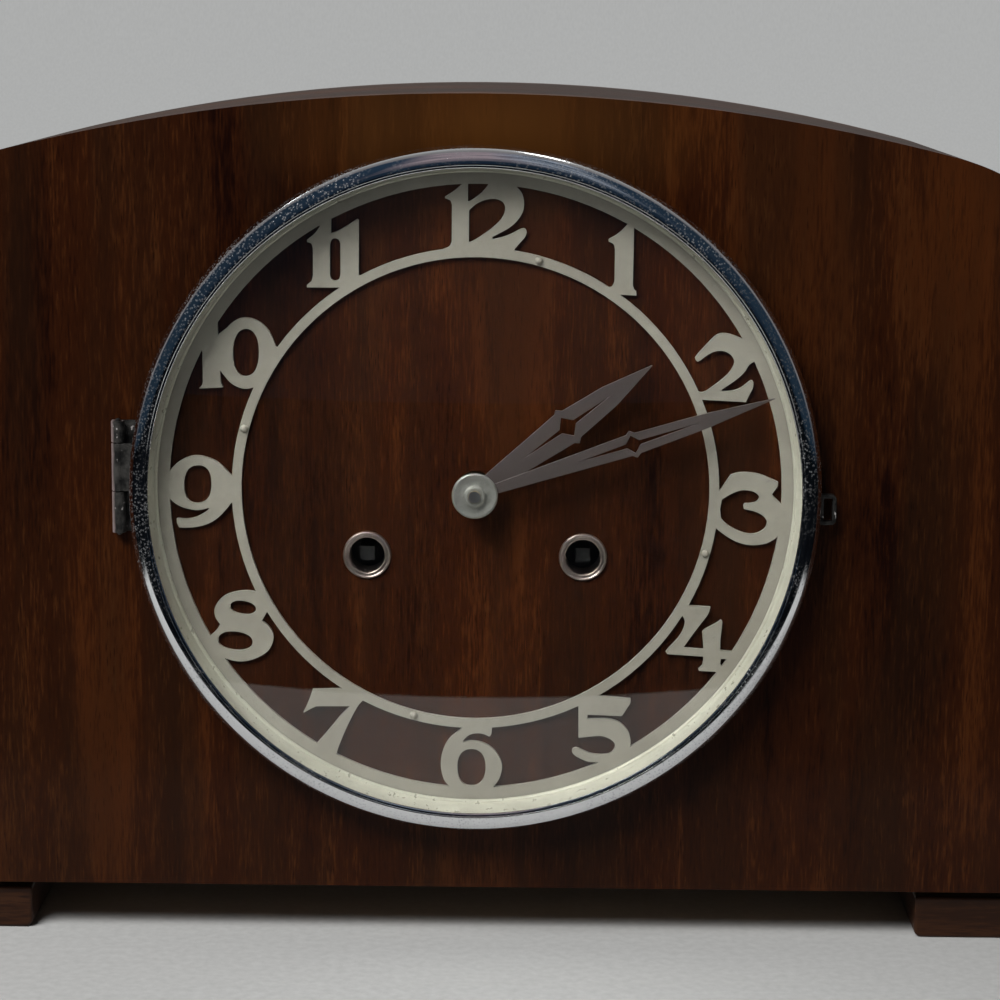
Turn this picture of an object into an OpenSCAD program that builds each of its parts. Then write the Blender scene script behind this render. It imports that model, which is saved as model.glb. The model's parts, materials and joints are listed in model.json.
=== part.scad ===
// Tambour mantel clock: a bent-wood case on two feet, a pierced chapter ring under a hinged glazed
// bezel, and an eight-day spring movement with a pendulum, an hour strike and rod gongs.
// The front faces -Y, +X is to the right of someone who reads the dial, and the feet stand on z = 0.

/* [Case] */
// Overall width of the case
case_w = 480; // [460:2:520]
// Height of the front board at its crown
board_h = 202; // [196:1:210]
// Depth of the case body, front board to back frame
body_d = 110; // [104:1:125]
// Thickness of the front board
front_t = 8; // [6:0.5:9]
// Thickness of the bent top and sides
wrap_t = 4.5; // [3:0.5:6]
// Thickness of the back frame
back_t = 8; // [6:0.5:10]
// Thickness of the base board
base_t = 8; // [6:0.5:10]
// Height of the feet
foot_h = 11; // [8:0.5:14]
// Shadow gap between the feet and the front board
foot_gap = 2; // [1:0.25:3]
// Distance from each end of the case to its foot
foot_end = 36; // [30:1:44]
// Length of each foot along the case
foot_l = 90; // [70:1:100]
// Set-back of the feet behind the front face
foot_back = 2.5; // [1:0.5:5]
// Radius of the long crown curve
crown_r = 478; // [440:2:520]
// Half length of the crown curve
crown_half = 118; // [112:1:122]
// Radius of each rounded shoulder
shoulder_r = 58; // [50:1:62]
// Steepest slope of the sides, in degrees
side_slope = 66; // [62:1:70]
// Radius of the hollow sweep above each wing
cove_r = 58; // [50:1:62]
// Slope at the top of each wing, in degrees
wing_slope = 4; // [2:0.5:8]
// Radius of the rounded end of each wing
wing_r = 17; // [14:0.5:20]
// Side of the glue blocks inside the corners
block_w = 12; // [8:1:16]
// Gap between the glue blocks and the bend of the wings above them
block_gap = 1.5; // [1:0.25:6]

/* [Dial] */
// Height of the dial centre above the lower edge of the front board
dial_up = 103.5; // [101:0.5:104.5]
// Inner radius of the pierced chapter ring
ring_in = 58.5; // [57.5:0.25:59]
// Width of the ring's inner rim
ring_rim = 2.4; // [2:0.1:2.8]
// Inner radius of the ring's outer band
band_in = 76.5; // [76:0.1:77]
// Outer radius of the ring
ring_out = 80.2; // [80:0.1:80.8]
// Thickness of the ring
ring_t = 1.2; // [0.8:0.1:1.4]
// Angle of the first pin that holds the ring, from three o'clock
pin_angle = 75.2; // [74:0.2:77]
// Radius of the pin heads
pin_head_r = 1; // [0.8:0.1:1.2]
// Radius of the pin shanks
pin_r = 0.55; // [0.4:0.05:0.6]
// Distance of each winding hole from the middle line
winding_x = 27.1; // [27:0.05:27.5]
// Distance of the winding holes below the dial centre
winding_down = 16.6; // [16.2:0.1:17]
// Outer radius of the winding grommets
grommet_r = 6; // [5.8:0.1:6.6]
// Bore radius of the winding grommets
grommet_bore = 4.4; // [4:0.1:4.6]
// Radius of the grommet shank
grommet_shank = 5.2; // [5:0.1:5.4]

/* [Bezel] */
// Outer radius of the bezel
bezel_r = 86; // [85.5:0.1:86.4]
// Inner radius of the bezel wall
bezel_in = 82.3; // [82.1:0.1:82.6]
// Height of the bezel in front of the board
bezel_h = 11.3; // [11:0.1:12]
// Inner radius of the lip that holds the glass
lip_r = 80.8; // [80.5:0.1:81.4]
// Inner radius of the sight ring
sight_in = 79.4; // [79.2:0.1:79.7]
// Thickness of the glass
glass_t = 1.6; // [1.2:0.1:2]
// Rise of the domed glass from its edge to its middle
glass_rise = 6.6; // [6:0.1:7.5]
// Gap between the bezel's back and the board
bezel_gap = 0.3; // [0.2:0.05:0.5]
// Clearance between the sight ring, the glass and the bezel wall
seat_gap = 0.1; // [0.05:0.01:0.15]
// Distance of the bezel hinge pin from the middle line
hinge_x = 89.2; // [88.6:0.1:89.6]
// Distance of the bezel hinge pin in front of the board
hinge_out = 2; // [1.9:0.05:2.2]
// Radius of the bezel hinge knuckles
knuckle_r = 1.7; // [1.5:0.05:1.8]
// Radius of the hinge pins
hinge_pin_r = 0.7; // [0.6:0.05:0.8]
// Running clearance of every turning fit
run_gap = 0.05; // [0.03:0.01:0.08]
// Lower end of the bezel hinge, from the dial centre
hinge_low = -11.2; // [-12:0.1:-9]
// Length of the bezel hinge
hinge_l = 28.2; // [24:0.1:30]
// Height of the lift tab on the right of the bezel
tab_h = 7.6; // [6:0.1:9]
// Reach of the lift tab beyond the bezel
tab_out = 4; // [2.5:0.1:5]
// Distance of the tab's middle below the dial centre
tab_down = 3.4; // [2:0.1:8]

/* [Hands] */
// Length of the minute hand, centre to tip
minute_l = 77.8; // [74:0.1:78.5]
// Length of the hour hand, centre to tip
hour_l = 54.3; // [50:0.1:56]
// Angle of the minute hand, clockwise from twelve
minute_angle = 71.3; // [0:0.1:360]
// Angle of the hour hand, clockwise from twelve
hour_angle = 53.2; // [0:0.1:360]
// Thickness of the minute hand
minute_t = 0.7; // [0.6:0.05:0.8]
// Thickness of the hour hand
hour_t = 0.8; // [0.6:0.05:1]
// Distance of the hour hand in front of the board
hour_out = 4.4; // [4:0.1:4.6]
// Distance of the minute hand in front of the board
minute_out = 6.9; // [6.7:0.1:7.1]
// Radius of the hand collet
collet_r = 5.7; // [5.2:0.1:6]

/* [Movement] */
// Depth of the movement's front plate behind the front face
front_plate_at = 20; // [20:0.5:21]
// Thickness of the movement plates
plate_t = 2; // [1.6:0.1:2.4]
// Distance between the movement plates
plate_gap = 30; // [30:0.5:31]
// Half width of the movement plates
plate_half = 55; // [54:0.5:58]
// Top of the plates above the dial centre
plate_top = 57; // [56:0.5:60]
// Bottom of the plates below the dial centre
plate_low = 50; // [50:0.5:54]
// Radius of the pillars
pillar_r = 3; // [2.4:0.1:3.2]
// Radius of the train arbors
arbor_r = 1; // [0.8:0.05:1]
// Radius of the arbor pivots
pivot_r = 0.6; // [0.5:0.05:0.7]
// Radius of the barrels
barrel_r = 19; // [17:0.5:19]
// Radius of the winding arbors
winding_r = 3; // [2.6:0.1:3]
// Side of the winding squares
square_w = 3.6; // [3.4:0.1:3.8]
// Radius of the ratchet wheels
ratchet_r = 9; // [8:0.25:9]
// Distance of the pendulum pivot above the dial centre
pallet_up = 45.5; // [45.5:0.25:46]
// Distance of the bob's middle below the pendulum pivot
bob_down = 105; // [98:1:106]
// Radius of the pendulum bob
bob_r = 20; // [16:0.5:20]
// Thickness of the pendulum bob
bob_t = 8; // [6:0.5:8]
// Depth of the pendulum rod behind the front face
pendulum_at = 60; // [59.5:0.25:61]
// Radius of the pendulum rod
rod_r = 0.8; // [0.7:0.05:0.9]

/* [Gong] */
// Radius of the gong rods
gong_r = 1.5; // [1.2:0.1:1.6]
// Length of the longer gong rod
gong_l = 150; // [130:1:155]
// Height of the gong rods above the base board
gong_up = 36; // [34:0.5:38]
// Depth of the front gong rod behind the front face
gong_at = 78; // [76:0.5:80]
// Spacing of the gong rods
gong_step = 8; // [7:0.5:9]
// Radius of the hammer heads
head_r = 3; // [2.5:0.1:3.4]

/* [Back door] */
// Radius of the opening in the back frame
opening_r = 72; // [68:0.5:73]
// Radius of the back door
door_r = 79; // [77:0.5:80]
// Thickness of the back door
door_t = 5; // [4:0.5:6]
// Distance of the door's hinge pin from the middle line
door_hinge_x = 84; // [83:0.5:86]
// Length of the door hinge
door_hinge_l = 36; // [28:1:40]
// Length of the door knob
knob_l = 9; // [7:0.5:12]
// Distance of the turn button from the middle line
button_x = 88; // [86.5:0.5:90]
// Length of the turn button
button_l = 26; // [22:1:28]
// Width of the turn button
button_w = 7; // [5:0.5:8]
// Thickness of the turn button
button_t = 2; // [1.5:0.1:2.5]

/* [Hidden] */
$fn = 96;

// Places that follow from the sizes above; a depth runs backwards from the front face
lip_t = 0.9;
lip_back = bezel_h - lip_t;
glass_out = lip_back - seat_gap + glass_rise;
rear_out = body_d + door_t + knob_l;
face_y = -(rear_out - glass_out) / 2;
board_z = foot_h + foot_gap;
dial_z = board_z + dial_up;
top_z = board_z + board_h;
half_w = case_w / 2;
floor_z = foot_h + base_t;
back_at = body_d - back_t;
back_plate_at = front_plate_at + plate_t + plate_gap;
gear_at = front_plate_at + plate_t;

// Colours of the materials as the photograph shows them
walnut = [0.20, 0.09, 0.04];
plywood = [0.45, 0.30, 0.18];
cream = [0.72, 0.70, 0.62];
chrome = [0.75, 0.76, 0.78];
nickel = [0.68, 0.62, 0.58];
brass = [0.80, 0.64, 0.30];
steel = [0.45, 0.46, 0.48];
iron = [0.16, 0.16, 0.17];

// A flat figure in the x-z plane, from one depth to another, measured from the face
module slab(at, t) {
    translate([0, face_y + at + t, 0]) rotate([90, 0, 0]) linear_extrude(t) children();
}

// The same with the figure's origin on the dial centre
module dial_slab(at, t) {
    translate([0, 0, dial_z]) slab(at, t) children();
}

// A turned shape about a front-to-back line through p; its profile is [radius, distance in front]
module turned(profile, p = [0, 0]) {
    translate([p[0], face_y, dial_z + p[1]]) rotate([90, 0, 0]) rotate_extrude() polygon(profile);
}

// A plain disc with a bore, on the dial plane at p
module disc(at, t, r, bore = 0, p = [0, 0]) {
    dial_slab(at, t) translate(p) difference() {
        circle(r);
        if (bore > 0) circle(bore);
    }
}

// Points on an arc, with angles in degrees
function arc(c, r, a0, a1, n) = [for (i = [0 : n]) let (a = a0 + (a1 - a0) * i / n)
    [c[0] + r * cos(a), c[1] + r * sin(a)]];

// The right half of the case outline, from the crown down to the wing's end, drawn in by t:
// crown arc, shoulder arc, straight side, hollow cove and rounded wing end, each tangent to the next
crown_a = asin(crown_half / crown_r);
crown_c = [0, top_z - crown_r];
shoulder_c = crown_c + (crown_r - shoulder_r) * [sin(crown_a), cos(crown_a)];
shoulder_end = shoulder_c + shoulder_r * [sin(side_slope), cos(side_slope)];
cove_run = cove_r * (sin(side_slope) - sin(wing_slope));
wing_run = wing_r * (1 - sin(wing_slope));
side_l = (half_w - shoulder_end[0] - cove_run - wing_run) / cos(side_slope);
side_end = shoulder_end + side_l * [cos(side_slope), -sin(side_slope)];
cove_c = side_end + cove_r * [sin(side_slope), cos(side_slope)];
wing_c = cove_c - (cove_r + wing_r) * [sin(wing_slope), cos(wing_slope)];
function case_side(t) = concat(
    arc(crown_c, crown_r - t, 90, 90 - crown_a, 30),
    arc(shoulder_c, shoulder_r - t, 90 - crown_a, 90 - side_slope, 18),
    arc(cove_c, cove_r + t, 270 - side_slope, 270 - wing_slope, 20),
    arc(wing_c, wing_r - t, 90 - wing_slope, 0, 14));
function mirrored(points) = [for (i = [len(points) - 1 : -1 : 0]) [-points[i][0], points[i][1]]];
function case_outline(t, low) = let (side = case_side(t))
    concat(mirrored(side), [for (i = [1 : len(side) - 1]) side[i]], [[half_w - t, low], [t - half_w, low]]);

module front_panel() {
    color(walnut) difference() {
        slab(0, front_t) polygon(case_outline(0, board_z));
        disc(-1, front_t + 2, centre_hole_r);
        for (s = [-1, 1]) disc(-1, front_t + 2, grommet_shank + run_gap, p = [s * winding_x, -winding_down]);
        for (k = [0 : 3]) disc(-1, pin_l, pin_r, p = pin_place(k));
        translate([0, 0, dial_z]) hinge_pocket();
    }
}

module case_wrap() {
    color(walnut) difference() {
        slab(front_t, back_at - front_t) polygon(case_outline(0, board_z));
        slab(front_t - 1, back_at - front_t + 2) polygon(case_outline(wrap_t, board_z - 1));
    }
}

base_gap = 0.2;
base_half = half_w - wrap_t - base_gap;
module base_board() {
    color(walnut) slab(front_t, back_at - front_t)
        translate([-base_half, foot_h]) square([2 * base_half, base_t]);
}

module back_frame() {
    color(walnut) difference() {
        slab(back_at, back_t) polygon(case_outline(0, board_z));
        disc(back_at - 1, back_t + 2, opening_r);
        disc(body_d - button_screw_l, button_screw_l + 1, button_screw_r, p = [button_x, 0]);
    }
}

module glue_blocks() {
    color(plywood) for (s = [-1, 1]) for (at = [front_t, back_at - block_w])
        slab(at, block_w) translate([s * (base_half - block_w / 2) - block_w / 2, floor_z])
            square([block_w, wing_c[1] - block_gap - floor_z]);
}

// A foot has its lower edges rounded along the case's depth
foot_edge = 2;
module foot(side) {
    x0 = side > 0 ? half_w - foot_end - foot_l : foot_end - half_w;
    color(walnut) slab(foot_back, body_d - 2 * foot_back) polygon(concat(
        arc([x0 + foot_edge, foot_edge], foot_edge, 180, 270, 6),
        arc([x0 + foot_l - foot_edge, foot_edge], foot_edge, 270, 360, 6),
        [[x0 + foot_l, foot_h], [x0, foot_h]]));
}
module left_foot() { foot(-1); }
module right_foot() { foot(1); }

// The door lies on the back frame and swings about a pin at the left seen from the front
door_gap = 0.2;
door_at = body_d + door_gap;
door_y = face_y + door_at;
leaf_t = 1;
door_knuckle_r = 2.2;
door_pin_r = 1;
module back_door() {
    color(plywood) difference() {
        disc(door_at, door_t - door_gap, door_r);
        disc(door_at - 1, door_t + 2, knob_pin_r, p = [knob_x, 0]);
        for (k = [-3 : 3]) dial_slab(door_at - 1, door_t + 2) translate([k * vent_step, 0]) vent_slot();
    }
}

// The sound slots in the door
vent_step = 11;
vent_w = 3;
vent_l = 46;
module vent_slot() {
    translate([-vent_w / 2, -vent_l / 2]) square([vent_w, vent_l]);
    for (s = [-1, 1]) translate([0, s * vent_l / 2]) circle(vent_w / 2);
}

knob_x = 60;
knob_r = 6;
knob_foot_r = 3.6;
knob_neck_r = 2.7;
knob_neck_l = 2.7;
knob_round = 1.5;
knob_pin_r = 1.5;
module door_knob() {
    face = -body_d - door_t;
    color(brass) turned(concat(
        [[0, -door_at], [knob_pin_r, -door_at], [knob_pin_r, face], [knob_foot_r, face],
         [knob_neck_r, face - knob_neck_l]],
        arc([knob_r - knob_round, -rear_out + knob_round], knob_round, 40, -90, 6),
        [[0, -rear_out]]), [knob_x, 0]);
}

door_pin_at = body_d + door_knuckle_r + door_gap;
module door_knuckle(z0, z1, bore) {
    translate([-door_hinge_x, face_y + door_pin_at, dial_z + z0]) difference() {
        cylinder(r = door_knuckle_r, h = z1 - z0);
        if (bore > 0) translate([0, 0, -1]) cylinder(r = bore, h = z1 - z0 + 2);
    }
}

// Each hinge has two fixed knuckles with the moving one between them
knuckle_gap = 0.3;
door_hinge_w = 11;
door_pin_end = 1;
door_third = door_hinge_l / 3;
door_spans = [[-door_hinge_l / 2, -door_third / 2 - knuckle_gap],
    [door_third / 2 + knuckle_gap, door_hinge_l / 2]];
module door_hinge_fixed() {
    color(brass) union() {
        for (z = door_spans) {
            door_knuckle(z[0], z[1], 0);
            dial_slab(body_d, leaf_t) translate([-door_hinge_x - door_hinge_w, z[0]])
                square([door_hinge_w, z[1] - z[0]]);
        }
        translate([-door_hinge_x, face_y + door_pin_at, dial_z - door_hinge_l / 2 - door_pin_end])
            cylinder(r = door_pin_r, h = door_hinge_l + 2 * door_pin_end);
    }
}

door_leaf_lap = 8;
leaf_neck = 1.4;
leaf_root = 0.2;
module door_hinge_leaf() {
    reach = door_hinge_x - sqrt(pow(door_r, 2) - pow(door_third, 2)) + door_leaf_lap;
    color(brass) union() {
        door_knuckle(-door_third / 2, door_third / 2, door_pin_r + run_gap);
        difference() {
            dial_slab(body_d + door_t, leaf_t)
                translate([-door_hinge_x, -door_third / 2]) square([reach, door_third]);
            translate([-door_hinge_x, face_y + door_pin_at, dial_z - door_third])
                cylinder(r = door_pin_r + run_gap, h = 2 * door_third);
        }
        difference() {
            dial_slab(door_pin_at, body_d + door_t + leaf_t - door_pin_at)
                translate([-door_hinge_x + door_pin_r + run_gap + leaf_root, -door_third / 2])
                    square([leaf_neck, door_third]);
            dial_slab(door_at - 1, door_t + 1) circle(door_r + door_gap);
        }
    }
}

button_screw_r = 1.2;
button_screw_l = 6;
button_lift = 0.4;
button_at = body_d + door_t + button_lift;
button_head_r = 2.6;
button_head_t = 1.4;
head_gap_t = 0.1;
screw_slot_w = 0.6;
screw_slot_d = 0.6;
module turn_button() {
    color(brass) difference() {
        union() {
            dial_slab(button_at, button_t) translate([button_x, 0]) {
                translate([-button_w / 2, button_w / 2 - button_l / 2])
                    square([button_w, button_l - button_w]);
                for (s = [-1, 1]) translate([0, s * (button_l - button_w) / 2]) circle(button_w / 2);
            }
            disc(body_d + door_gap, button_at - body_d - door_gap, button_w / 2, p = [button_x, 0]);
        }
        disc(body_d - 1, door_t + button_t + 4, button_screw_r + run_gap, p = [button_x, 0]);
    }
}
module button_screw() {
    head_at = button_at + button_t + head_gap_t;
    color(steel) union() {
        disc(body_d - button_screw_l, head_at + head_gap_t - body_d + button_screw_l, button_screw_r,
             p = [button_x, 0]);
        difference() {
            disc(head_at, button_head_t, button_head_r, p = [button_x, 0]);
            dial_slab(head_at + button_head_t - screw_slot_d, 1) translate([button_x, 0])
                square([2 * button_head_r + 2, screw_slot_w], center = true);
        }
    }
}

// Figures of the chapter ring. Each outline is a list of spans: a span that starts with 0 is a run of
// straight edges, and one that starts with 1 is a smooth curve through its points.
curve_steps = 4;
function pick(points, i) = points[min(max(i, 0), len(points) - 1)];
function smooth(points) = [for (i = [0 : len(points) - 2])
    for (k = [0 : curve_steps - (i < len(points) - 2 ? 1 : 0)])
    let (t = k / curve_steps, a = pick(points, i - 1), b = points[i])
    let (c = points[i + 1], d = pick(points, i + 2))
    0.5 * (2 * b + (c - a) * t + (2 * a - 5 * b + 4 * c - d) * t * t + (3 * b - a - 3 * c + d) * t * t * t)];
function path(spans) = [for (s = spans) for (p = s[0] == 1 ? smooth(s[1]) : s[1]) p];

// The outlines are laid out as seen from a little above the dial; this sets them square to it
view_rise = 1.016;
view_lean = 1.2;
function squared(p) = [p[0], p[1] * view_rise - view_lean * (norm(p) - ring_in) / (band_in - ring_in)];
module figure_shape(spans) { polygon([for (p = path(spans)) squared(p)]); }

// An oval counter: centre, half sizes, tilt in degrees and squareness
module counter(c, a, b, tilt = 0, power = 0.9) {
    polygon([for (i = [0 : 31]) let (t = i * 11.25, x = a * sign(cos(t)) * pow(abs(cos(t)), power),
                                     y = b * sign(sin(t)) * pow(abs(sin(t)), power))
        squared([c[0] + x * cos(tilt) - y * sin(tilt), c[1] + x * sin(tilt) + y * cos(tilt)])]);
}

module figure_1() {
    figure_shape([[0, [[38.6, 66.4], [38.5, 51.5]]], [1, [[38.5, 51.5], [38.9, 50.4], [39.4, 49.9]]],
        [0, [[39.4, 48.9], [35, 48.9], [32.2, 49.6]]], [1, [[32.2, 50.6], [33.4, 50.9], [34, 52.2]]],
        [0, [[34, 60.4]]], [1, [[34, 60.4], [33.6, 61.8], [32.4, 62.4]]], [0, [[32.4, 63]]],
        [1, [[32.4, 63], [34.8, 64.6], [37, 67]]], [0, [[38, 68]]]]);
}

module figure_2() {
    figure_shape([[1, [[69.4, 34.3], [67.6, 33], [66.7, 31.4], [65.2, 29.7], [63.2, 28], [60.8, 26.2]]],
        [1, [[61.1, 25.9], [63.6, 26.2], [65.5, 27], [67, 28.2], [68, 29.1], [68.7, 28.9], [68.7, 27.4],
             [67.9, 25.6], [67, 23.6]]],
        [0, [[55.4, 23.4], [54.2, 25.1]]], [1, [[55.2, 25.3], [56.6, 25.4], [58.6, 26.8], [60.9, 28.8],
             [62.8, 30.8], [63.9, 33], [63.6, 34.5], [62.5, 35.6], [60.9, 36.1], [59, 35.8], [57.1, 34.7],
             [55.6, 33.4], [54.8, 33], [54.3, 33.6], [54.5, 34.4], [56.7, 37.1], [58.9, 39.6],
             [60.2, 40.4], [61.8, 40.6], [63.8, 40.2], [66, 39.4]]]]);
}

module figure_3() {
    difference() {
        figure_shape([[0, [[60.6, 0.4], [61.3, 1.3], [62.3, 2.9]]], [1, [[63.7, 5.1], [65.7, 5.8], [68, 6],
             [70.7, 5.8], [73.4, 5], [75.5, 4.2]]], [0, [[75.4, 3.1], [74, 0.9], [76.6, -1.3], [77.4, -1.6],
             [77.4, -8.4]]], [1, [[76.2, -8.8], [74.9, -10.1], [72.6, -11.4], [69.2, -12], [66.1, -11.6],
             [63.4, -10.5], [61.3, -9.2], [60.2, -8.4]]]]);
        figure_shape([[1, [[61.6, -1.2], [64.2, 0.5], [66.8, 1.5], [69.5, 1.3], [70.9, 0.1], [70.3, -1.1],
             [68.8, -1.6], [67.3, -1.8]]], [0, [[67, -2.4]]], [1, [[67.2, -3.2], [69.5, -3.5], [71.5, -4.2],
             [72.9, -5.6], [72.8, -7.1], [71.6, -8.4], [69.5, -9.2], [67.2, -9.1], [64.9, -8.3],
             [62.8, -7.2], [61.5, -6]]], [0, [[61.2, -3.6]]]]);
    }
}

module figure_4() {
    difference() {
        union() {
            figure_shape([[0, [[53, -28], [59.3, -28]]], [1, [[59.3, -28], [58.7, -29.9], [56.6, -32.8],
                 [54.6, -35.6], [52.7, -38.4]]], [0, [[57.6, -38.5], [62, -38.5], [67.5, -38.6], [66, -40.3],
                 [48.7, -40.2], [48.3, -39.7], [49.2, -38.5]]], [1, [[49.2, -38.5], [51.1, -36.5],
                 [52.5, -34.3], [53, -32.2], [52.5, -30.8]]], [0, [[51.4, -30]]]]);
            figure_shape([[1, [[57.4, -34.2], [58.2, -33.5], [60.9, -31.9], [62.1, -31]]], [0, [[62.4, -31.4],
                 [62, -36], [62, -43], [64.5, -43.8], [56.8, -43.8], [56.6, -43.4]]], [1, [[56.6, -43.4],
                 [57.6, -42.4], [57.8, -41.2]]], [0, [[57.8, -38]]]]);
            figure_shape([[0, [[62, -40], [67, -40], [64.2, -44], [61, -44]]]]);
        }
        figure_shape([[1, [[62.2, -40.6], [63.2, -40.5], [64.1, -40.7]]], [1, [[63.7, -41.6], [62.7, -42.4],
             [62.1, -41.8]]]]);
    }
}

module figure_5() {
    figure_shape([[0, [[31, -51.2], [39.6, -51.6]]], [1, [[39.6, -51.6], [39.6, -52.6], [38.6, -54.2],
         [37.5, -55.9]]], [0, [[28.8, -55.9], [28.8, -57]]], [1, [[28.8, -57], [31.2, -56.8], [34.6, -56.8],
         [37.3, -57.7], [39.1, -59.5], [39.8, -61.7], [39.7, -64]]], [0, [[39.4, -66.4], [30, -70.6],
         [32.2, -67.7]]], [1, [[32.2, -67.7], [31.8, -67.4], [29.2, -67.3], [26.6, -66.4], [25.2, -65.4],
         [25.1, -64.5], [26.1, -64.1], [28.1, -64.8], [30, -65.4], [32.7, -65.5], [34.7, -65.1],
         [35.8, -63.8], [35.7, -62.5], [34.2, -61.4], [31.9, -60.9], [29.6, -61.2], [26.6, -61.6]]],
         [0, [[26.5, -53.6]]]]);
}

module figure_6() {
    difference() {
        figure_shape([[1, [[-2.2, -59.2], [-3.6, -60.5], [-5.6, -62], [-7.1, -63.9], [-8, -66.2],
            [-8.3, -68.5],
             [-8, -70.8], [-7.2, -72.8], [-5.4, -74.6]]], [0, [[-5.2, -75.6], [4.6, -75.6]]],
             [1, [[4.6, -74.6], [6.3, -72.5], [7.1, -70.5], [7.2, -68.5], [6.1, -66.1], [4.2, -64.3],
             [1.9, -63.3], [-0.9, -63], [-2.8, -63.4]]], [1, [[-2.6, -62.8], [-1.2, -61.6], [0.7, -61.1],
             [2.6, -61.3], [4, -61.9]]], [1, [[4, -61.9], [4.5, -61.2], [4.6, -60]]], [0, [[4.6, -59]]]]);
        counter([-0.5, -69.4], 3.6, 4.5, 0, 0.85);
    }
}

module figure_7() {
    figure_shape([[0, [[-31.8, -50.4], [-33.6, -50.1], [-40.8, -50.1], [-41.8, -52.8]]], [1, [[-41.8, -52.8],
         [-42.6, -54.5], [-43.2, -55.6]]], [1, [[-43, -55.7], [-42, -55.1], [-39.9, -54.2]]],
         [0, [[-31.4, -54.4]]], [1, [[-31.4, -54.5], [-33.8, -56.7], [-35.7, -58.9], [-37.8, -61.2],
         [-39.9, -63.4]]], [0, [[-42, -64.2], [-36.6, -68.2], [-34.9, -66.2]]], [1, [[-34.9, -66.2],
         [-34.3, -64.3], [-33, -61.2], [-31.5, -58.1], [-29.9, -55.2], [-28.9, -53.8]]], [0,
         [[-27.4, -52.4]]]]);
}

module figure_8() {
    difference() {
        union() {
            figure_shape([[1, [[-53.8, -26.2], [-55.4, -25.6], [-57.4, -25.3], [-59.9, -25.4], [-62.6, -26.1],
                 [-64.5, -27.6], [-65.5, -29.4], [-65.3, -31.4], [-64.1, -33.2]]], [0, [[-60, -34.6],
                 [-53.6, -32.9]]], [1, [[-53.6, -32.9], [-52.9, -31.8], [-52.2, -30.6]]], [0,
                 [[-51.2, -29.8]]]]);
            figure_shape([[1, [[-64.1, -33.2], [-65.2, -34.8], [-66.8, -36.1]]], [0, [[-68.2, -36.4],
                 [-65.4, -41.6]]], [1, [[-63.9, -41.2], [-62.2, -41.9], [-59.9, -42.5], [-57.2, -42.5],
                 [-54.2, -41.6], [-51.9, -40.1], [-50.8, -37.9], [-50.9, -35.8], [-52.1, -34],
                 [-53.8, -32.8]]], [0, [[-56, -31.8], [-62, -32.2]]]]);
        }
        counter([-58.3, -29.4], 3.3, 1.65, -12, 0.9);
        counter([-60.3, -37.5], 4.4, 2.3, -9, 0.9);
    }
}

module figure_9() {
    difference() {
        figure_shape([[0, [[-77.6, 4.8]]], [1, [[-76.7, 5.1], [-75, 7], [-72.7, 8.4], [-70, 9], [-67.3, 8.5],
             [-64.6, 7.2], [-62.7, 5.5], [-61.3, 3.9]]], [0, [[-60.2, 3], [-60.2, -3]]], [1, [[-61.1, -3.4],
             [-62.7, -5.3], [-64.6, -7], [-66.9, -8.2], [-69.6, -8.8], [-72.2, -8.9], [-74.2, -8.7]]],
             [1, [[-74.7, -7.6], [-74.8, -6.5]]], [1, [[-74.4, -6.4], [-72.3, -6.7], [-70, -6.4],
             [-68.1, -5.6], [-66.5, -4.5]]], [1, [[-66.9, -4.3], [-68.4, -4.6], [-70.2, -4.6], [-73.1, -3.8],
             [-75.4, -2.4], [-76.8, -1]]], [0, [[-77.6, -0.6]]]]);
        counter([-69.4, 1.8], 3.45, 4.75, 0, 0.85);
    }
}

module figure_10() {
    difference() {
        union() {
            figure_shape([[0, [[-67.9, 34.9], [-67.85, 27.5]]], [1, [[-67.85, 27.5], [-68.1, 26.6],
                [-68.7, 26]]],
                 [0, [[-68.7, 25.8], [-62.9, 25.8]]], [1, [[-62.9, 25.9], [-63.4, 27.2], [-63.6, 29.9]]],
                 [0, [[-60, 34], [-61.5, 41], [-64, 39.2], [-64.2, 43.2], [-68.4, 36.4]]]]);
            figure_shape([[1, [[-64, 39.2], [-62.8, 39.7], [-60.9, 41.7], [-59, 42.9], [-57.1, 43.2],
                 [-54.8, 42.6], [-52.5, 41], [-50.9, 38.7], [-49.7, 35.5]]], [0, [[-48.4, 34.4],
                 [-53.4, 25.8]]],
                 [1, [[-55.2, 25.4], [-57.1, 25.1], [-59, 25.6], [-60.9, 26.8], [-62.5, 28.7],
                 [-63.6, 30.2]]]]);
        }
        counter([-57.1, 34.3], 3.25, 6.05, 0, 0.9);
    }
}

module figure_11() {
    difference() {
        figure_shape([[0, [[-35.9, 68.6], [-35.9, 64]]], [1, [[-35.9, 64], [-34.4, 64.5], [-32.6, 65.5],
             [-30.9, 66.6], [-29.5, 67.5]]], [0, [[-29.1, 67.3], [-29.1, 53.2], [-28.2, 51.4], [-33.9, 50],
             [-41.9, 50.3], [-41.9, 50.9]]], [1, [[-41.9, 50.9], [-40.8, 51.9], [-40.4, 53.3]]],
             [0, [[-40.4, 60.2]]], [1, [[-40.4, 60.2], [-40.8, 61.5], [-41.8, 61.9]]], [0, [[-41.8, 62.5]]],
             [1, [[-41.8, 62.5], [-39.9, 64.1], [-38.7, 65.8]]], [0, [[-38.9, 67.4]]]]);
        figure_shape([[1, [[-36.2, 61.2], [-35.8, 62.3], [-34.9, 62.7], [-34, 62.3], [-33.6, 61.2]]],
             [1, [[-33.6, 53.3], [-34, 52.2], [-34.9, 51.8], [-35.8, 52.2], [-36.2, 53.3]]]]);
    }
}

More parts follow.
